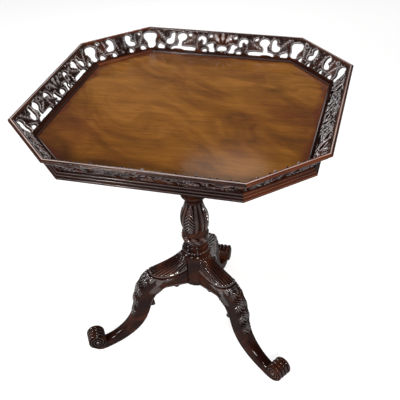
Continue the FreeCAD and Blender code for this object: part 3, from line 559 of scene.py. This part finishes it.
gallery = {
    "voxel": 0.00085,  # metres; the sizes below are in millimetres
    "halfAcross": 350.0, "longHalf": 208.0,  # middle of the table to a long side, and half that side's length
    "thickness": 5.0, "footOffset": 37.5, "headOffset": 2.8, "foot": 692.0, "head": 730.5,
    "band": 46.83,  # pierced band, up the lean
    "web": 0.34,  # thinnest wood, as a share of the full thickness
    "bead": 3.0, "quirk": 1.2, "second": 2.2, "flutePitch": 3.4,  # ribbon round each opening, then flutes
    "fullness": 2.3,  # how far the carving swells the inner face
    "tipCurl": 5.0, "tipLift": 5.2, "tipPitch": 13.5, "tipTop": 736.7,  # leaf tips that curl past the rim
    "wallBetween": (1.2, 3.8),  # depths at which only the walls of the openings are met
    "shellFoot": 0.30, "shellRadius": 24, "shellRibs": 5.2,  # foot as a share of the band
    "outerShade": 0.5,  # the outer face is kept darker, with less rubbed off it
}

# leaves: base, bend and tip as (share of half length, share of band), half width, number of veins
longLeaves = [
    ((0.945, 0.98), (0.86, 0.80), (0.80, 0.40), 6.5, 9),
    ((0.77, 0.14), (0.86, 0.30), (0.915, 0.42), 4.0, 6),
    ((0.385, 0.80), (0.44, 0.52), (0.585, 0.27), 6.5, 10),
    ((0.43, 0.66), (0.40, 0.84), (0.50, 0.99), 5.0, 6),
    ((0.22, 0.30), (0.215, 0.62), (0.27, 0.97), 5.0, 8),
    ((0.66, 0.40), (0.65, 0.70), (0.68, 0.98), 4.0, 6),
    ((0.33, 0.10), (0.36, 0.30), (0.35, 0.52), 4.0, 5),
]
cantedLeaves = [
    ((0.60, 0.22), (0.70, 0.55), (0.84, 0.86), 6.5, 10),
    ((0.52, 0.40), (0.50, 0.72), (0.58, 0.98), 4.5, 7),
    ((0.30, 0.16), (0.45, 0.24), (0.60, 0.20), 3.5, 5),
    ((0.12, 0.30), (0.14, 0.62), (0.17, 0.97), 4.5, 7),
]
# buds: share of half length, share of band, radius
longBuds = [(0.335, 0.555, 3.4), (0.268, 0.405, 3.0), (0.79, 0.43, 3.2), (0.0, 0.06, 3.0), (0.075, 0.07, 2.6),
            (0.645, 0.13, 2.8), (0.365, 0.22, 2.6), (0.955, 0.50, 2.6)]
cantedBuds = [(0.40, 0.70, 3.2), (0.0, 0.10, 3.2), (0.30, 0.24, 2.6), (0.86, 0.36, 2.8)]


def leafRelief(across, up, leaf, halfLength):
    # height of a veined leaf at each point and how far the point is inside it
    base, bend, tip, halfWidth, veins = leaf
    place = [np.array([share * halfLength, rise * gallery["band"]]) for share, rise in (base, bend, tip)]
    steps = np.linspace(0, 1, 28)
    line = np.array([place[0] * (1 - t) ** 2 + place[1] * 2 * t * (1 - t) + place[2] * t * t for t in steps])
    away = np.hypot(across[:, None] - line[None, :, 0], up[:, None] - line[None, :, 1])
    nearest = away.argmin(1)
    distance = away[np.arange(len(across)), nearest]
    along = steps[nearest]
    breadth = halfWidth * np.sqrt(np.clip(np.sin(np.pi * (0.12 + 0.85 * along)), 0.02, 1))
    side = distance / breadth
    inside = ease(1.08, 0.85, side)
    lobes = np.abs(np.sin(np.pi * (along * veins * 0.6 - 0.8 * side))) ** 0.8
    rib = np.exp(-(side / 0.2) ** 2)
    height = (0.12 + 0.95 * lobes) * (1 - 0.3 * side) + 0.6 * rib
    return height, inside


def shellRelief(across, up):
    # ribbed fan over the middle arch
    rise = up - gallery["shellFoot"] * gallery["band"]
    radius = np.hypot(across, rise)
    ribs = np.abs(np.cos(np.arctan2(across, np.maximum(rise, 0.001)) * gallery["shellRibs"])) ** 0.8
    outer = gallery["shellRadius"]
    rimCurl = np.exp(-((radius - outer) / 2.2) ** 2)
    height = (0.02 + 0.98 * ribs) * (0.6 + 0.4 * ease(6, outer - 2, radius)) + 0.35 * rimCurl
    inside = ease(outer + 0.5, outer - 1.5, np.abs(across)) * ease(0.05, 1.5, rise - 0.42 * np.abs(across))
    return height, inside


def carvePanel(piece, reach, turn, leaves, buds, hasShell):
    slope = math.tan(math.radians(22.5))
    run, rise = gallery["footOffset"] - gallery["headOffset"], gallery["head"] - gallery["foot"]
    lean = math.hypot(run, rise)
    upward = np.array([run / lean, 0, rise / lean])
    outward = np.array([rise / lean, 0, -run / lean])
    foot = np.array([reach - gallery["footOffset"], 0, gallery["foot"]])
    flat = turnPoints(getPoints(piece), -turn)
    normals = turnPoints(getNormals(piece), -turn)
    across = flat[:, 1]
    up = (flat - foot) @ upward
    out = (flat - foot) @ outward
    facing = normals @ outward
    cantedHalf = (gallery["halfAcross"] - gallery["longHalf"]) / math.sqrt(2)
    halfLength = (gallery["longHalf"] if hasShell else cantedHalf) - gallery["footOffset"] * slope

    # walls of the openings: points on neither face, clear of the panel's own edges
    endLine = halfLength + up * (run / lean) * slope
    shallow, deep = gallery["wallBetween"]
    wall = ((np.abs(facing) < 0.55) & (out < -shallow) & (out > -deep) & (up > 0.7) & (up < lean - 1.2)
            & (np.abs(across) < endLine - 1.3))
    _, gap = nearestOf(np.column_stack([across[wall], up[wall]]), across, up)

    bead, quirk, second = gallery["bead"], gallery["quirk"], gallery["second"]
    first = np.sqrt(np.clip(1 - ((gap - bead / 2) / (bead / 2)) ** 2, 0, 1))
    middle = bead + quirk + second / 2
    ring = np.sqrt(np.clip(1 - ((gap - middle) / (second / 2)) ** 2, 0, 1)) * 0.8
    wave = np.abs(np.cos(np.pi * (gap - bead) / gallery["flutePitch"]))
    flutes = 0.10 + 0.55 * wave * ease(bead + 3, bead + 4, gap)
    height = np.where(gap < bead, 0.35 + 0.80 * first, np.maximum(ring, flutes))
    mirrored = np.abs(across)
    free = ease(1.2, 3.0, gap)  # leaves stop short of the ribbon
    for leaf in leaves:
        relief, inside = leafRelief(mirrored, up, leaf, halfLength)
        height = height * (1 - inside * free) + relief * inside * free
    if hasShell:
        relief, inside = shellRelief(across, up)
        height = height * (1 - inside * free) + relief * inside * free
    for share, lift, radius in buds:
        away = np.hypot(mirrored - share * halfLength, up - lift * gallery["band"])
        dome = np.sqrt(np.clip(1 - (away / radius) ** 2, 0, 1))
        height = np.where(away < radius, 0.25 + 1.1 * dome * (0.75 + 0.25 * np.cos(away * 2.6)), height)
    plain = np.minimum(ease(0.2, 1.4, up), ease(lean - 0.2, lean - 1.8, up))
    share = gallery["web"] + (1 - gallery["web"]) * height
    share = 1 + (share - 1) * plain
    middleOut = -gallery["thickness"] / 2
    newOut = middleOut + (out - middleOut) * share
    inner = out < middleOut
    newOut -= np.where(inner, gallery["fullness"] * height * plain, 0)
    # leaf tips that curl past the rim on the inner side
    curl = ease(0.66, 0.96, up / lean) * ease(lean + 0.2, lean - 1.0, up)
    tips = (0.5 + 0.5 * np.cos(mirrored * 2 * np.pi / gallery["tipPitch"])) ** 0.8
    tips *= 0.84 + 0.16 * np.cos(mirrored * 2 * np.pi / (2.7 * gallery["tipPitch"]))
    flat += (newOut - out)[:, None] * outward
    curl = np.where(inner, curl * tips, 0)
    flat[:, 0] -= gallery["tipCurl"] * curl
    flat[:, 2] = np.minimum(flat[:, 2] + gallery["tipLift"] * curl ** 2, gallery["tipTop"])
    setPoints(piece, turnPoints(flat, turn))
    shown = np.where(inner, 1.0, gallery["outerShade"])
    markRelief(piece, 0.5 + (0.86 * height - 0.42) * plain * shown)


def makeGallery(material):
    reach = {0: gallery["halfAcross"], 45: (gallery["halfAcross"] + gallery["longHalf"]) / math.sqrt(2)}
    for start, turn, leaves, buds in (("right", 0, longLeaves, longBuds),
                                      ("back_right", 45, cantedLeaves, cantedBuds)):
        first = skinOf("gallery_panel_" + start, "carved_gallery_panel_" + start, gallery["voxel"])
        carvePanel(first, reach[turn], turn, leaves, buds, hasShell=(turn == 0))
        dress(first, material)
        offset = sideNames.index(start)
        for quarter in range(4):
            name = sideNames[offset + 2 * quarter]
            piece = first if quarter == 0 else turnedCopy(first, "carved_gallery_panel_" + name, 90 * quarter)
            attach(piece, "tray")
            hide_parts("gallery_panel_" + name)
    print("gallery carved,", len(first.data.vertices), "points on a canted side")


leg = {
    "voxel": 0.0013,  # metres; the sizes below are in millimetres
    "turns": {"left": 210, "right": 330, "back": 90},  # degrees round the pillar
    "drum": 37.0, "halfWidth": 21.0, "halfWidthAtFoot": 13.5,
    "footReach": 289.0, "footHeight": 37.5, "footRadius": 24.0, "footHalfWidth": 23.0, "footRibs": 4,
    # the two sides seen from beside the leg, as out from the drum and height
    "upper": [(-6, 281), (7, 266), (22, 257), (42, 248), (62, 241), (82, 234), (102, 222.5), (118, 206),
              (131, 180), (140, 147), (144, 115), (154.5, 88), (176, 61), (205, 40.5), (235, 31)],
    "lower": [(266, 20), (262, 7), (248, -0.4), (231, 1), (213, 7.5), (191, 17), (161, 34), (133, 57),
              (113, 84), (101, 112), (93, 136), (82, 157), (67, 171), (47, 181), (-5, 181)],
    "kneeEnd": 108.0, "kneeBreadth": 45.0, "kneeCurve": 2.6, "veinPitch": 5.0, "veinSpread": 3.6,
    "rimRise": 3.0, "grooveDepth": 1.6, "scallopPitch": 0.27, "scallopHang": 11,
    "featherStart": 128.0, "featherEnd": 268.0, "featherBreadth": (5, 30), "barb": 9.5,
    "cutDepth": 1.3, "cutPitch": 8.0, "beadRise": 1.4, "quirkDepth": 0.9,
    "sideLeafPitch": 12.5, "sideVeinPitch": 4.6, "whorlPitch": 7.4,
    "lineSteps": 420,  # places along each side's line
}


def smoothLine(points, count):
    # evenly spaced places on a smooth line through the points
    given = np.array(points, float)
    padded = np.vstack([2 * given[0] - given[1], given, 2 * given[-1] - given[-2]])
    line = []
    for index in range(1, len(padded) - 2):
        a, b, c, d = padded[index - 1:index + 3]
        for t in np.linspace(0, 1, 16, endpoint=False):
            line.append(0.5 * (2 * b + (c - a) * t + (2 * a - 5 * b + 4 * c - d) * t ** 2
                               + (3 * b - a - 3 * c + d) * t ** 3))
    line.append(given[-1])
    line = np.array(line)
    length = np.concatenate([[0], np.cumsum(np.linalg.norm(np.diff(line, axis=0), axis=1))])
    even = np.linspace(0, length[-1], count)
    return np.column_stack([np.interp(even, length, line[:, 0]), np.interp(even, length, line[:, 1])]), even


def kneeRelief(along, wrap, depth):
    # a long leaf with veins that spread from the drum, inside a raised rim
    curve = leg["kneeCurve"]
    alongLeaf = np.maximum(along, 0.1) / leg["kneeEnd"]
    acrossLeaf = np.maximum(wrap, 0.1) / leg["kneeBreadth"]
    steep = np.hypot(curve * alongLeaf ** (curve - 1) / leg["kneeEnd"],
                     curve * acrossLeaf ** (curve - 1) / leg["kneeBreadth"])
    past = (alongLeaf ** curve + acrossLeaf ** curve - 1) / np.maximum(steep, 0.008)  # mm outside the leaf
    bearing = np.arctan2(acrossLeaf, alongLeaf)
    knee = ease(8, 16, along) * ease(0.72, 0.60, depth)
    inLeaf = ease(0.5, -2.0, past) * knee
    veinPitch = leg["veinPitch"] + leg["veinSpread"] * np.clip(alongLeaf, 0, 1)
    veins = np.abs(np.cos(np.pi * wrap / veinPitch)) ** 0.8
    height = inLeaf * (-2.0 + 2.7 * veins + 0.8 * ease(0.3, 1.0, alongLeaf) * veins)
    height += leg["rimRise"] * knee * np.exp(-((past - 2.6) / 2.3) ** 2)
    height -= leg["grooveDepth"] * knee * np.exp(-((past - 7.2) / 1.3) ** 2)
    # scalloped points that hang past the rim
    petal = np.abs(np.cos(np.pi * bearing / leg["scallopPitch"])) ** 0.8
    hang = leg["scallopHang"] * petal
    inScallop = knee * ease(7.5, 9.5, past) * ease(12 + hang, 9 + hang, past) * ease(1.15, 0.95, bearing)
    height += inScallop * (0.4 + 2.4 * petal * (0.7 + 0.3 * np.cos(np.pi * past / 2.6)))
    return height


def featherRelief(along, wrap):
    # down the shin, with barbs that slope to its spine
    start, end, barb = leg["featherStart"], leg["featherEnd"], leg["barb"]
    run = np.clip((along - start) / (end - start), 0, 1)
    narrow, wide = leg["featherBreadth"]
    breadth = narrow + wide * np.sqrt(np.clip(np.sin(np.pi * (0.24 + 0.76 * run)), 0, 1)) * (1 - 0.25 * run)
    edge = breadth * (0.84 + 0.16 * np.cos(2 * np.pi * (along - 0.9 * wrap) / barb))
    inFeather = (ease(start, start + 10, along) * ease(end, end - 8, along)
                 * ease(edge + 0.8, edge - 1.8, wrap))
    tuft = np.sin(2 * np.pi * (along - 0.5 * wrap) / (4.1 * barb))  # it falls in overlapping tufts
    barbs = np.abs(np.sin(np.pi * (along + (0.95 + 0.35 * tuft) * wrap) / barb)) ** 0.8
    spine = np.exp(-(wrap / 2.4) ** 2)
    return inFeather * (-1.4 + 3.0 * barbs * (1 - 0.3 * wrap / 30) + 1.2 * spine + 1.0 * tuft)


def edgeRelief(along, depth, side, toLower):
    # a few cuts behind the knee on both sides, and a bead along the lower edges
    rear = ease(0.50, 0.60, depth) * ease(112, 122, along) * ease(176, 164, along)
    height = leg["cutDepth"] * rear * np.abs(np.sin(np.pi * (along - 22 * depth) / leg["cutPitch"]))
    beaded = ease(22, 34, along) * ease(232, 208, along)
    height += leg["beadRise"] * beaded * np.exp(-((toLower - 4.5) / 1.3) ** 2) * ease(0.74, 0.90, side)
    height -= leg["quirkDepth"] * beaded * np.exp(-((toLower - 8.2) / 1.1) ** 2) * ease(0.80, 0.93, side)
    return height


def flankRelief(along, depth, toUpper):
    # leaves down both sides of the knee
    flank = ease(0.30, 0.42, depth) * ease(0.94, 0.84, depth) * ease(10, 20, along) * ease(150, 132, along)
    leafy = np.abs(np.sin(np.pi * (along * 0.8 + toUpper * 0.75) / leg["sideLeafPitch"])) ** 0.8
    fine = np.abs(np.sin(np.pi * (along * 0.8 - toUpper * 0.5) / leg["sideVeinPitch"]))
    return flank * (-1.6 + 3.0 * leafy + 0.8 * fine * leafy)


def footRelief(points, normals):
    # deeper ribs round the foot's roll, and a whorl cut in both of its ends
    dx, across, dz = points[:, 0] - leg["footReach"], points[:, 1], points[:, 2] - leg["footHeight"]
    radius = np.hypot(dx, dz)
    sideways = np.abs(normals[:, 1])
    half = leg["footHalfWidth"]
    pitch = 2 * half / leg["footRibs"]
    toRib = np.abs((across + half + pitch / 2) % pitch - pitch / 2)
    onRoll = ease(19.5, 21.0, radius) * ease(-4, 4, dx + 0.6 * dz) * ease(0.9, 0.7, sideways)
    onEnd = ease(0.80, 0.95, sideways) * ease(half - 3, half - 1, np.abs(across))
    winding = radius / leg["whorlPitch"] - np.arctan2(dz, -dx) / (2 * np.pi)
    spiral = np.abs(np.cos(np.pi * winding)) ** 0.8
    height = onRoll * (0.5 - 2.3 * np.exp(-(toRib / 1.7) ** 2))
    height += onEnd * ease(23.5, 21.0, radius) * (-2.2 + 2.7 * spiral)
    height += onEnd * 2.2 * np.exp(-(radius / 3.8) ** 4)  # the button in the middle of the whorl
    return height


def carveLeg(piece, turn, sideLeaves):
    points = turnPoints(getPoints(piece), -turn)
    normals = turnPoints(getNormals(piece), -turn)
    out, across, up = points[:, 0] - leg["drum"], points[:, 1], points[:, 2]
    upper, upperLength = smoothLine(leg["upper"], leg["lineSteps"])
    lower, _ = smoothLine(leg["lower"], leg["lineSteps"])
    onUpper, toUpper = nearestOf(upper, out, up)
    _, toLower = nearestOf(lower, out, up)
    along = upperLength[onUpper]
    depth = toUpper / (toUpper + toLower + 0.001)  # 0 on the upper side, 1 underneath
    reach = np.clip(points[:, 0] / (leg["footReach"] + leg["footRadius"]), 0, 1)
    side = np.abs(across) / (leg["halfWidth"] + (leg["halfWidthAtFoot"] - leg["halfWidth"]) * reach)
    wrap = np.abs(across) + toUpper * 0.8  # distance round the section from the crest
    height = kneeRelief(along, wrap, depth) + featherRelief(along, wrap)
    height += edgeRelief(along, depth, side, toLower) + footRelief(points, normals)
    if sideLeaves:
        height += flankRelief(along, depth, toUpper)
    # no carving against the pillar or the floor
    keep = ease(0.6, 3.0, np.hypot(points[:, 0], across) - leg["drum"]) * ease(0.8, 2.4, up)
    points += normals * (height * keep)[:, None]
    setPoints(piece, turnPoints(points, turn))
    markRelief(piece, 0.5 + 0.19 * height * keep)


def makeLegs(material):
    for name in ("back", "left"):
        turn = leg["turns"][name]
        piece = skinOf("leg_" + name, "carved_leg_" + name, leg["voxel"])
        carveLeg(piece, turn, sideLeaves=(name == "back"))
        dress(piece, material)
        made = {name: piece}
        if name == "left":
            made["right"] = turnedCopy(piece, "carved_leg_right", leg["turns"]["right"] - turn)
        for side, finished in made.items():
            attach(finished, "stand")
            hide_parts("leg_" + side)
    print("legs carved,", len(piece.data.vertices), "points on the left one")


pillar = {
    "drumBottom": 181.0, "tenonTop": 674.2, "drum": 37.0,
    # radius, height, swell of the arc that leads there (0 for a straight line), rows in it
    "outline": [(37.0, 280.0, 0.0, 4), (32.5, 280.0, 0.0, 3), (32.5, 289.0, 1.4, 8), (28.8, 292.0, -0.6, 5),
                (28.0, 303.0, 3.0, 14), (27.5, 310.0, -0.6, 8), (34.0, 323.0, 1.3, 22),
                (34.0, 334.0, 0.5, 18), (30.4, 348.0, -1.0, 20), (36.2, 372.0, 0.9, 36),
                (29.0, 406.0, 2.6, 54), (22.0, 430.0, -0.7, 22), (22.3, 436.0, 0.8, 8),
                (32.0, 449.0, -1.0, 12), (32.0, 458.0, 1.8, 8), (26.0, 464.0, -1.2, 7),
                (26.0, 472.0, 2.4, 10), (22.5, 480.0, -1.4, 8), (19.0, 612.0, 0.8, 8),
                (19.0, 619.0, 2.6, 10), (26.0, 636.0, -2.4, 10), (26.0, 642.7, 0.0, 2),
                (17.0, 642.7, 0.0, 2), (17.0, 674.2, 0.0, 2)],
    "steps": 336,
    "vase": (349.0, 430.0), "straps": 4, "strapTurn": 98, "strapHalf": 18.5, "strapBarb": 9.0,
    "petalsFrom": 19,  # degrees from a strap's middle
    "collar": (311.0, 335.0), "collarLeaves": 10, "collarTurn": 9,
    "pearls": 27, "pearlRadius": 3.3, "pearlHeight": 284.6, "pearlPlace": 33.4, "pearlShade": 0.72,
}


def pillarRows():
    rows = [(0.0, pillar["drumBottom"]), (pillar["drum"] * 0.5, pillar["drumBottom"])]
    place = np.array([pillar["drum"], pillar["drumBottom"]])
    rows.append(tuple(place))
    for radius, height, swell, count in pillar["outline"]:
        end = np.array([radius, height])
        shares = np.linspace(0, 1, count + 1)[1:]
        if swell == 0:
            steps = [place + (end - place) * t for t in shares]
        else:
            middle = (place + end) / 2 + np.array([swell, 0.0])
            steps = [circlePoint(place, middle, end, t) for t in shares]
        rows += [tuple(step) for step in steps]
        place = end
    rows.append((0.0, pillar["tenonTop"]))
    return rows


def circlePoint(start, middle, end, t):
    # place at share t of the arc through three points
    ax, ay = start
    bx, by = middle
    cx, cy = end
    aa, bb, cc = ax * ax + ay * ay, bx * bx + by * by, cx * cx + cy * cy
    d = 2 * (ax * (by - cy) + bx * (cy - ay) + cx * (ay - by))
    ux = (aa * (by - cy) + bb * (cy - ay) + cc * (ay - by)) / d
    uy = (aa * (cx - bx) + bb * (ax - cx) + cc * (bx - ax)) / d
    centre = np.array([ux, uy])
    radius = np.linalg.norm(start - centre)
    a0 = math.atan2(ay - uy, ax - ux)
    a1 = math.atan2(cy - uy, cx - ux)
    am = math.atan2(by - uy, bx - ux)
    sweep = (a1 - a0 + math.pi) % (2 * math.pi) - math.pi
    half = (am - a0 + math.pi) % (2 * math.pi) - math.pi
    if sweep * half < 0:
        sweep += math.copysign(2 * math.pi, half)
    angle = a0 + sweep * t
    return centre + radius * np.array([math.cos(angle), math.sin(angle)])


def vaseRelief(angle, z):
    # veined straps with smooth petals between them
    low, high = pillar["vase"]
    rise = np.clip((z - low) / (high - low), 0, 1)
    inVase = ease(low, low + 2, z) * ease(high + 1, high - 1, z)
    pitch = 360 / pillar["straps"]
    swing = np.abs((angle + pillar["strapTurn"] + pitch / 2) % pitch - pitch / 2)
    place = swing / (pillar["strapHalf"] * np.sin(np.pi * (0.24 + 0.66 * rise)) + 2)
    barb = pillar["strapBarb"]
    strap = ease(1.04, 0.94, place * (1 + 0.12 * np.cos(2 * np.pi * (z - 0.25 * swing) / barb)))
    barbs = np.abs(np.sin(np.pi * (z + 12 * place) / barb)) ** 0.8
    height = strap * (-1.6 + 4.2 * barbs * (1 - 0.35 * place) + 1.4 * np.exp(-(place / 0.16) ** 2))
    fromMiddle = np.clip((pitch / 2 - swing) / (pitch / 2 - pillar["petalsFrom"]), 0, 1)
    petal = np.abs(np.sin(np.pi * fromMiddle)) ** 0.6  # two between each pair of straps
    height += (1 - strap) * (-1.9 + 2.5 * petal)
    return inVase * height


def collarRelief(angle, z):
    # leaves that cross each other
    low, high = pillar["collar"]
    rise = np.clip((z - low) / (high - low), 0, 1)
    inCollar = ease(low, low + 1.5, z) * ease(high + 1, high - 1, z)
    pitch = 360 / pillar["collarLeaves"]
    swing = np.abs((angle + pillar["collarTurn"] + pitch / 2) % pitch - pitch / 2)
    leafEdge = swing / (pitch * 0.62 * np.sqrt(np.clip(1 - rise ** 2 * 0.85, 0.05, 1)))
    veins = np.abs(np.sin(np.pi * (rise * 3.2 + leafEdge * 1.1))) ** 0.7
    crossing = np.abs(np.sin(np.radians(angle) * pillar["collarLeaves"] / 2 + rise * 2.6))
    return inCollar * (-1.8 + 2.4 * veins * ease(1.1, 0.8, leafEdge) + 1.6 * crossing ** 3)


def carvePillar(piece):
    points = getPoints(piece)
    z = points[:, 2]
    angle = np.degrees(np.arctan2(points[:, 1], points[:, 0]))
    height = vaseRelief(angle, z) + collarRelief(angle, z)
    setPoints(piece, points + getNormals(piece) * height[:, None])
    markRelief(piece, 0.5 + 0.20 * height)


def makePillar(material):
    bpy.ops.object.select_all(action="DESELECT")
    bpy.ops.mesh.primitive_plane_add(size=0.01)
    piece = bpy.context.object
    piece.name = "carved_pillar"
    bpy.ops.object.mode_set(mode="EDIT")
    bpy.ops.mesh.select_all(action="SELECT")
    bpy.ops.mesh.merge(type="CENTER")
    rows = pillarRows()
    here = Vector((0, 0, 0))
    for index, (radius, height) in enumerate(rows):
        there = Vector((radius, 0, height)) / 1000
        if index == 0:
            bpy.ops.transform.translate(value=there - here)
        else:
            bpy.ops.mesh.extrude_region_move(TRANSFORM_OT_translate={"value": there - here})
        here = there
    bpy.ops.mesh.select_all(action="SELECT")
    bpy.ops.mesh.spin(steps=pillar["steps"], angle=2 * math.pi, center=(0, 0, 0), axis=(0, 0, 1))
    bpy.ops.mesh.select_all(action="SELECT")
    bpy.ops.mesh.remove_doubles(threshold=0.000002)
    bpy.ops.mesh.normals_make_consistent(inside=False)
    bpy.ops.object.mode_set(mode="OBJECT")
    bpy.ops.object.shade_smooth()
    carvePillar(piece)
    dress(piece, material)
    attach(piece, "stand")
    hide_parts("pillar")
    print("pillar turned and carved,", len(piece.data.vertices), "points")


def makePearls(material):
    # one pearl, copied to each place round the pillar and joined
    bpy.ops.object.select_all(action="DESELECT")
    bpy.ops.mesh.primitive_uv_sphere_add(segments=18, ring_count=12, radius=pillar["pearlRadius"] / 1000)
    pearl = bpy.context.object
    copies = []
    for index in range(pillar["pearls"]):
        angle = 2 * math.pi * index / pillar["pearls"]
        place = Vector((math.cos(angle) * pillar["pearlPlace"], math.sin(angle) * pillar["pearlPlace"],
                        pillar["pearlHeight"])) / 1000
        copies.append(copyOf(pearl, "pearl_%d" % index, Matrix.Translation(place)))
    bpy.data.objects.remove(pearl)
    piece = copies[0]
    pickOnly(piece)
    for copy in copies:
        copy.select_set(True)
    bpy.ops.object.join()
    piece.name = "pearl_ring"
    bpy.ops.object.shade_smooth()
    markRelief(piece, np.full(len(piece.data.vertices), pillar["pearlShade"]))
    dress(piece, material)
    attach(piece, "stand")
    print("pearls set,", pillar["pearls"])


addCamera()
addLamps()
addRoom()
print("camera, lamps and floor placed")

carvedWood = makeWood("carvedWood", woods["carved"], 90, relief=paintedRelief)
galleryWood = makeWood("galleryWood", woods["carved"], 90, relief=galleryPaintedRelief)  # silver painted sheen along its ridges and darker painted shade in its hollows
trayWood = makeTrayTop()
railWood = {angle: makeWood("railWood%d" % angle, sideLitWood(woods["rail"], tone), angle, edges=edgeHighlights)
            for angle, tone in litSideTones.items()}
mouldingWood = {angle: makeWood("mouldingWood%d" % angle, sideLitWood(woods["moulding"], tone), angle,
                                edges=edgeHighlights) for angle, tone in litSideTones.items()}
bearerWood = makeWood("bearerWood", woods["plain"], 90)
blockWood = makeWood("blockWood", woods["plain"], 0)
brass = makeMetal("agedBrass")
iron = makeMetal("wroughtIron")
steel = makeMetal("dullSteel")

for name, node in nodes.items():
    if name == "tray_board":
        dress(node, trayWood)
    elif name.startswith(("base_moulding", "rim_rail", "gallery_panel")):
        side = sideNames.index(name.split("_", 2)[2])
        finish = mouldingWood if name.startswith("base_moulding") else railWood
        dress(node, finish[(90 + 45 * side) % 180])
    elif name.startswith("bearer_") and name != "bearer_screws":
        dress(node, bearerWood)
    elif name in ("tilt_block", "tenon_wedge"):
        dress(node, blockWood)
    elif name in ("pillar", "leg_left", "leg_right", "leg_back"):
        dress(node, carvedWood)
    elif name == "strap_plate":
        dress(node, iron)
    elif name in ("bearer_screws", "strap_screws"):
        dress(node, steel)
    else:
        dress(node, brass)
print("finishes given to the CAD nodes")

makeGallery(galleryWood)
makeLegs(carvedWood)
makePillar(carvedWood)
makePearls(carvedWood)
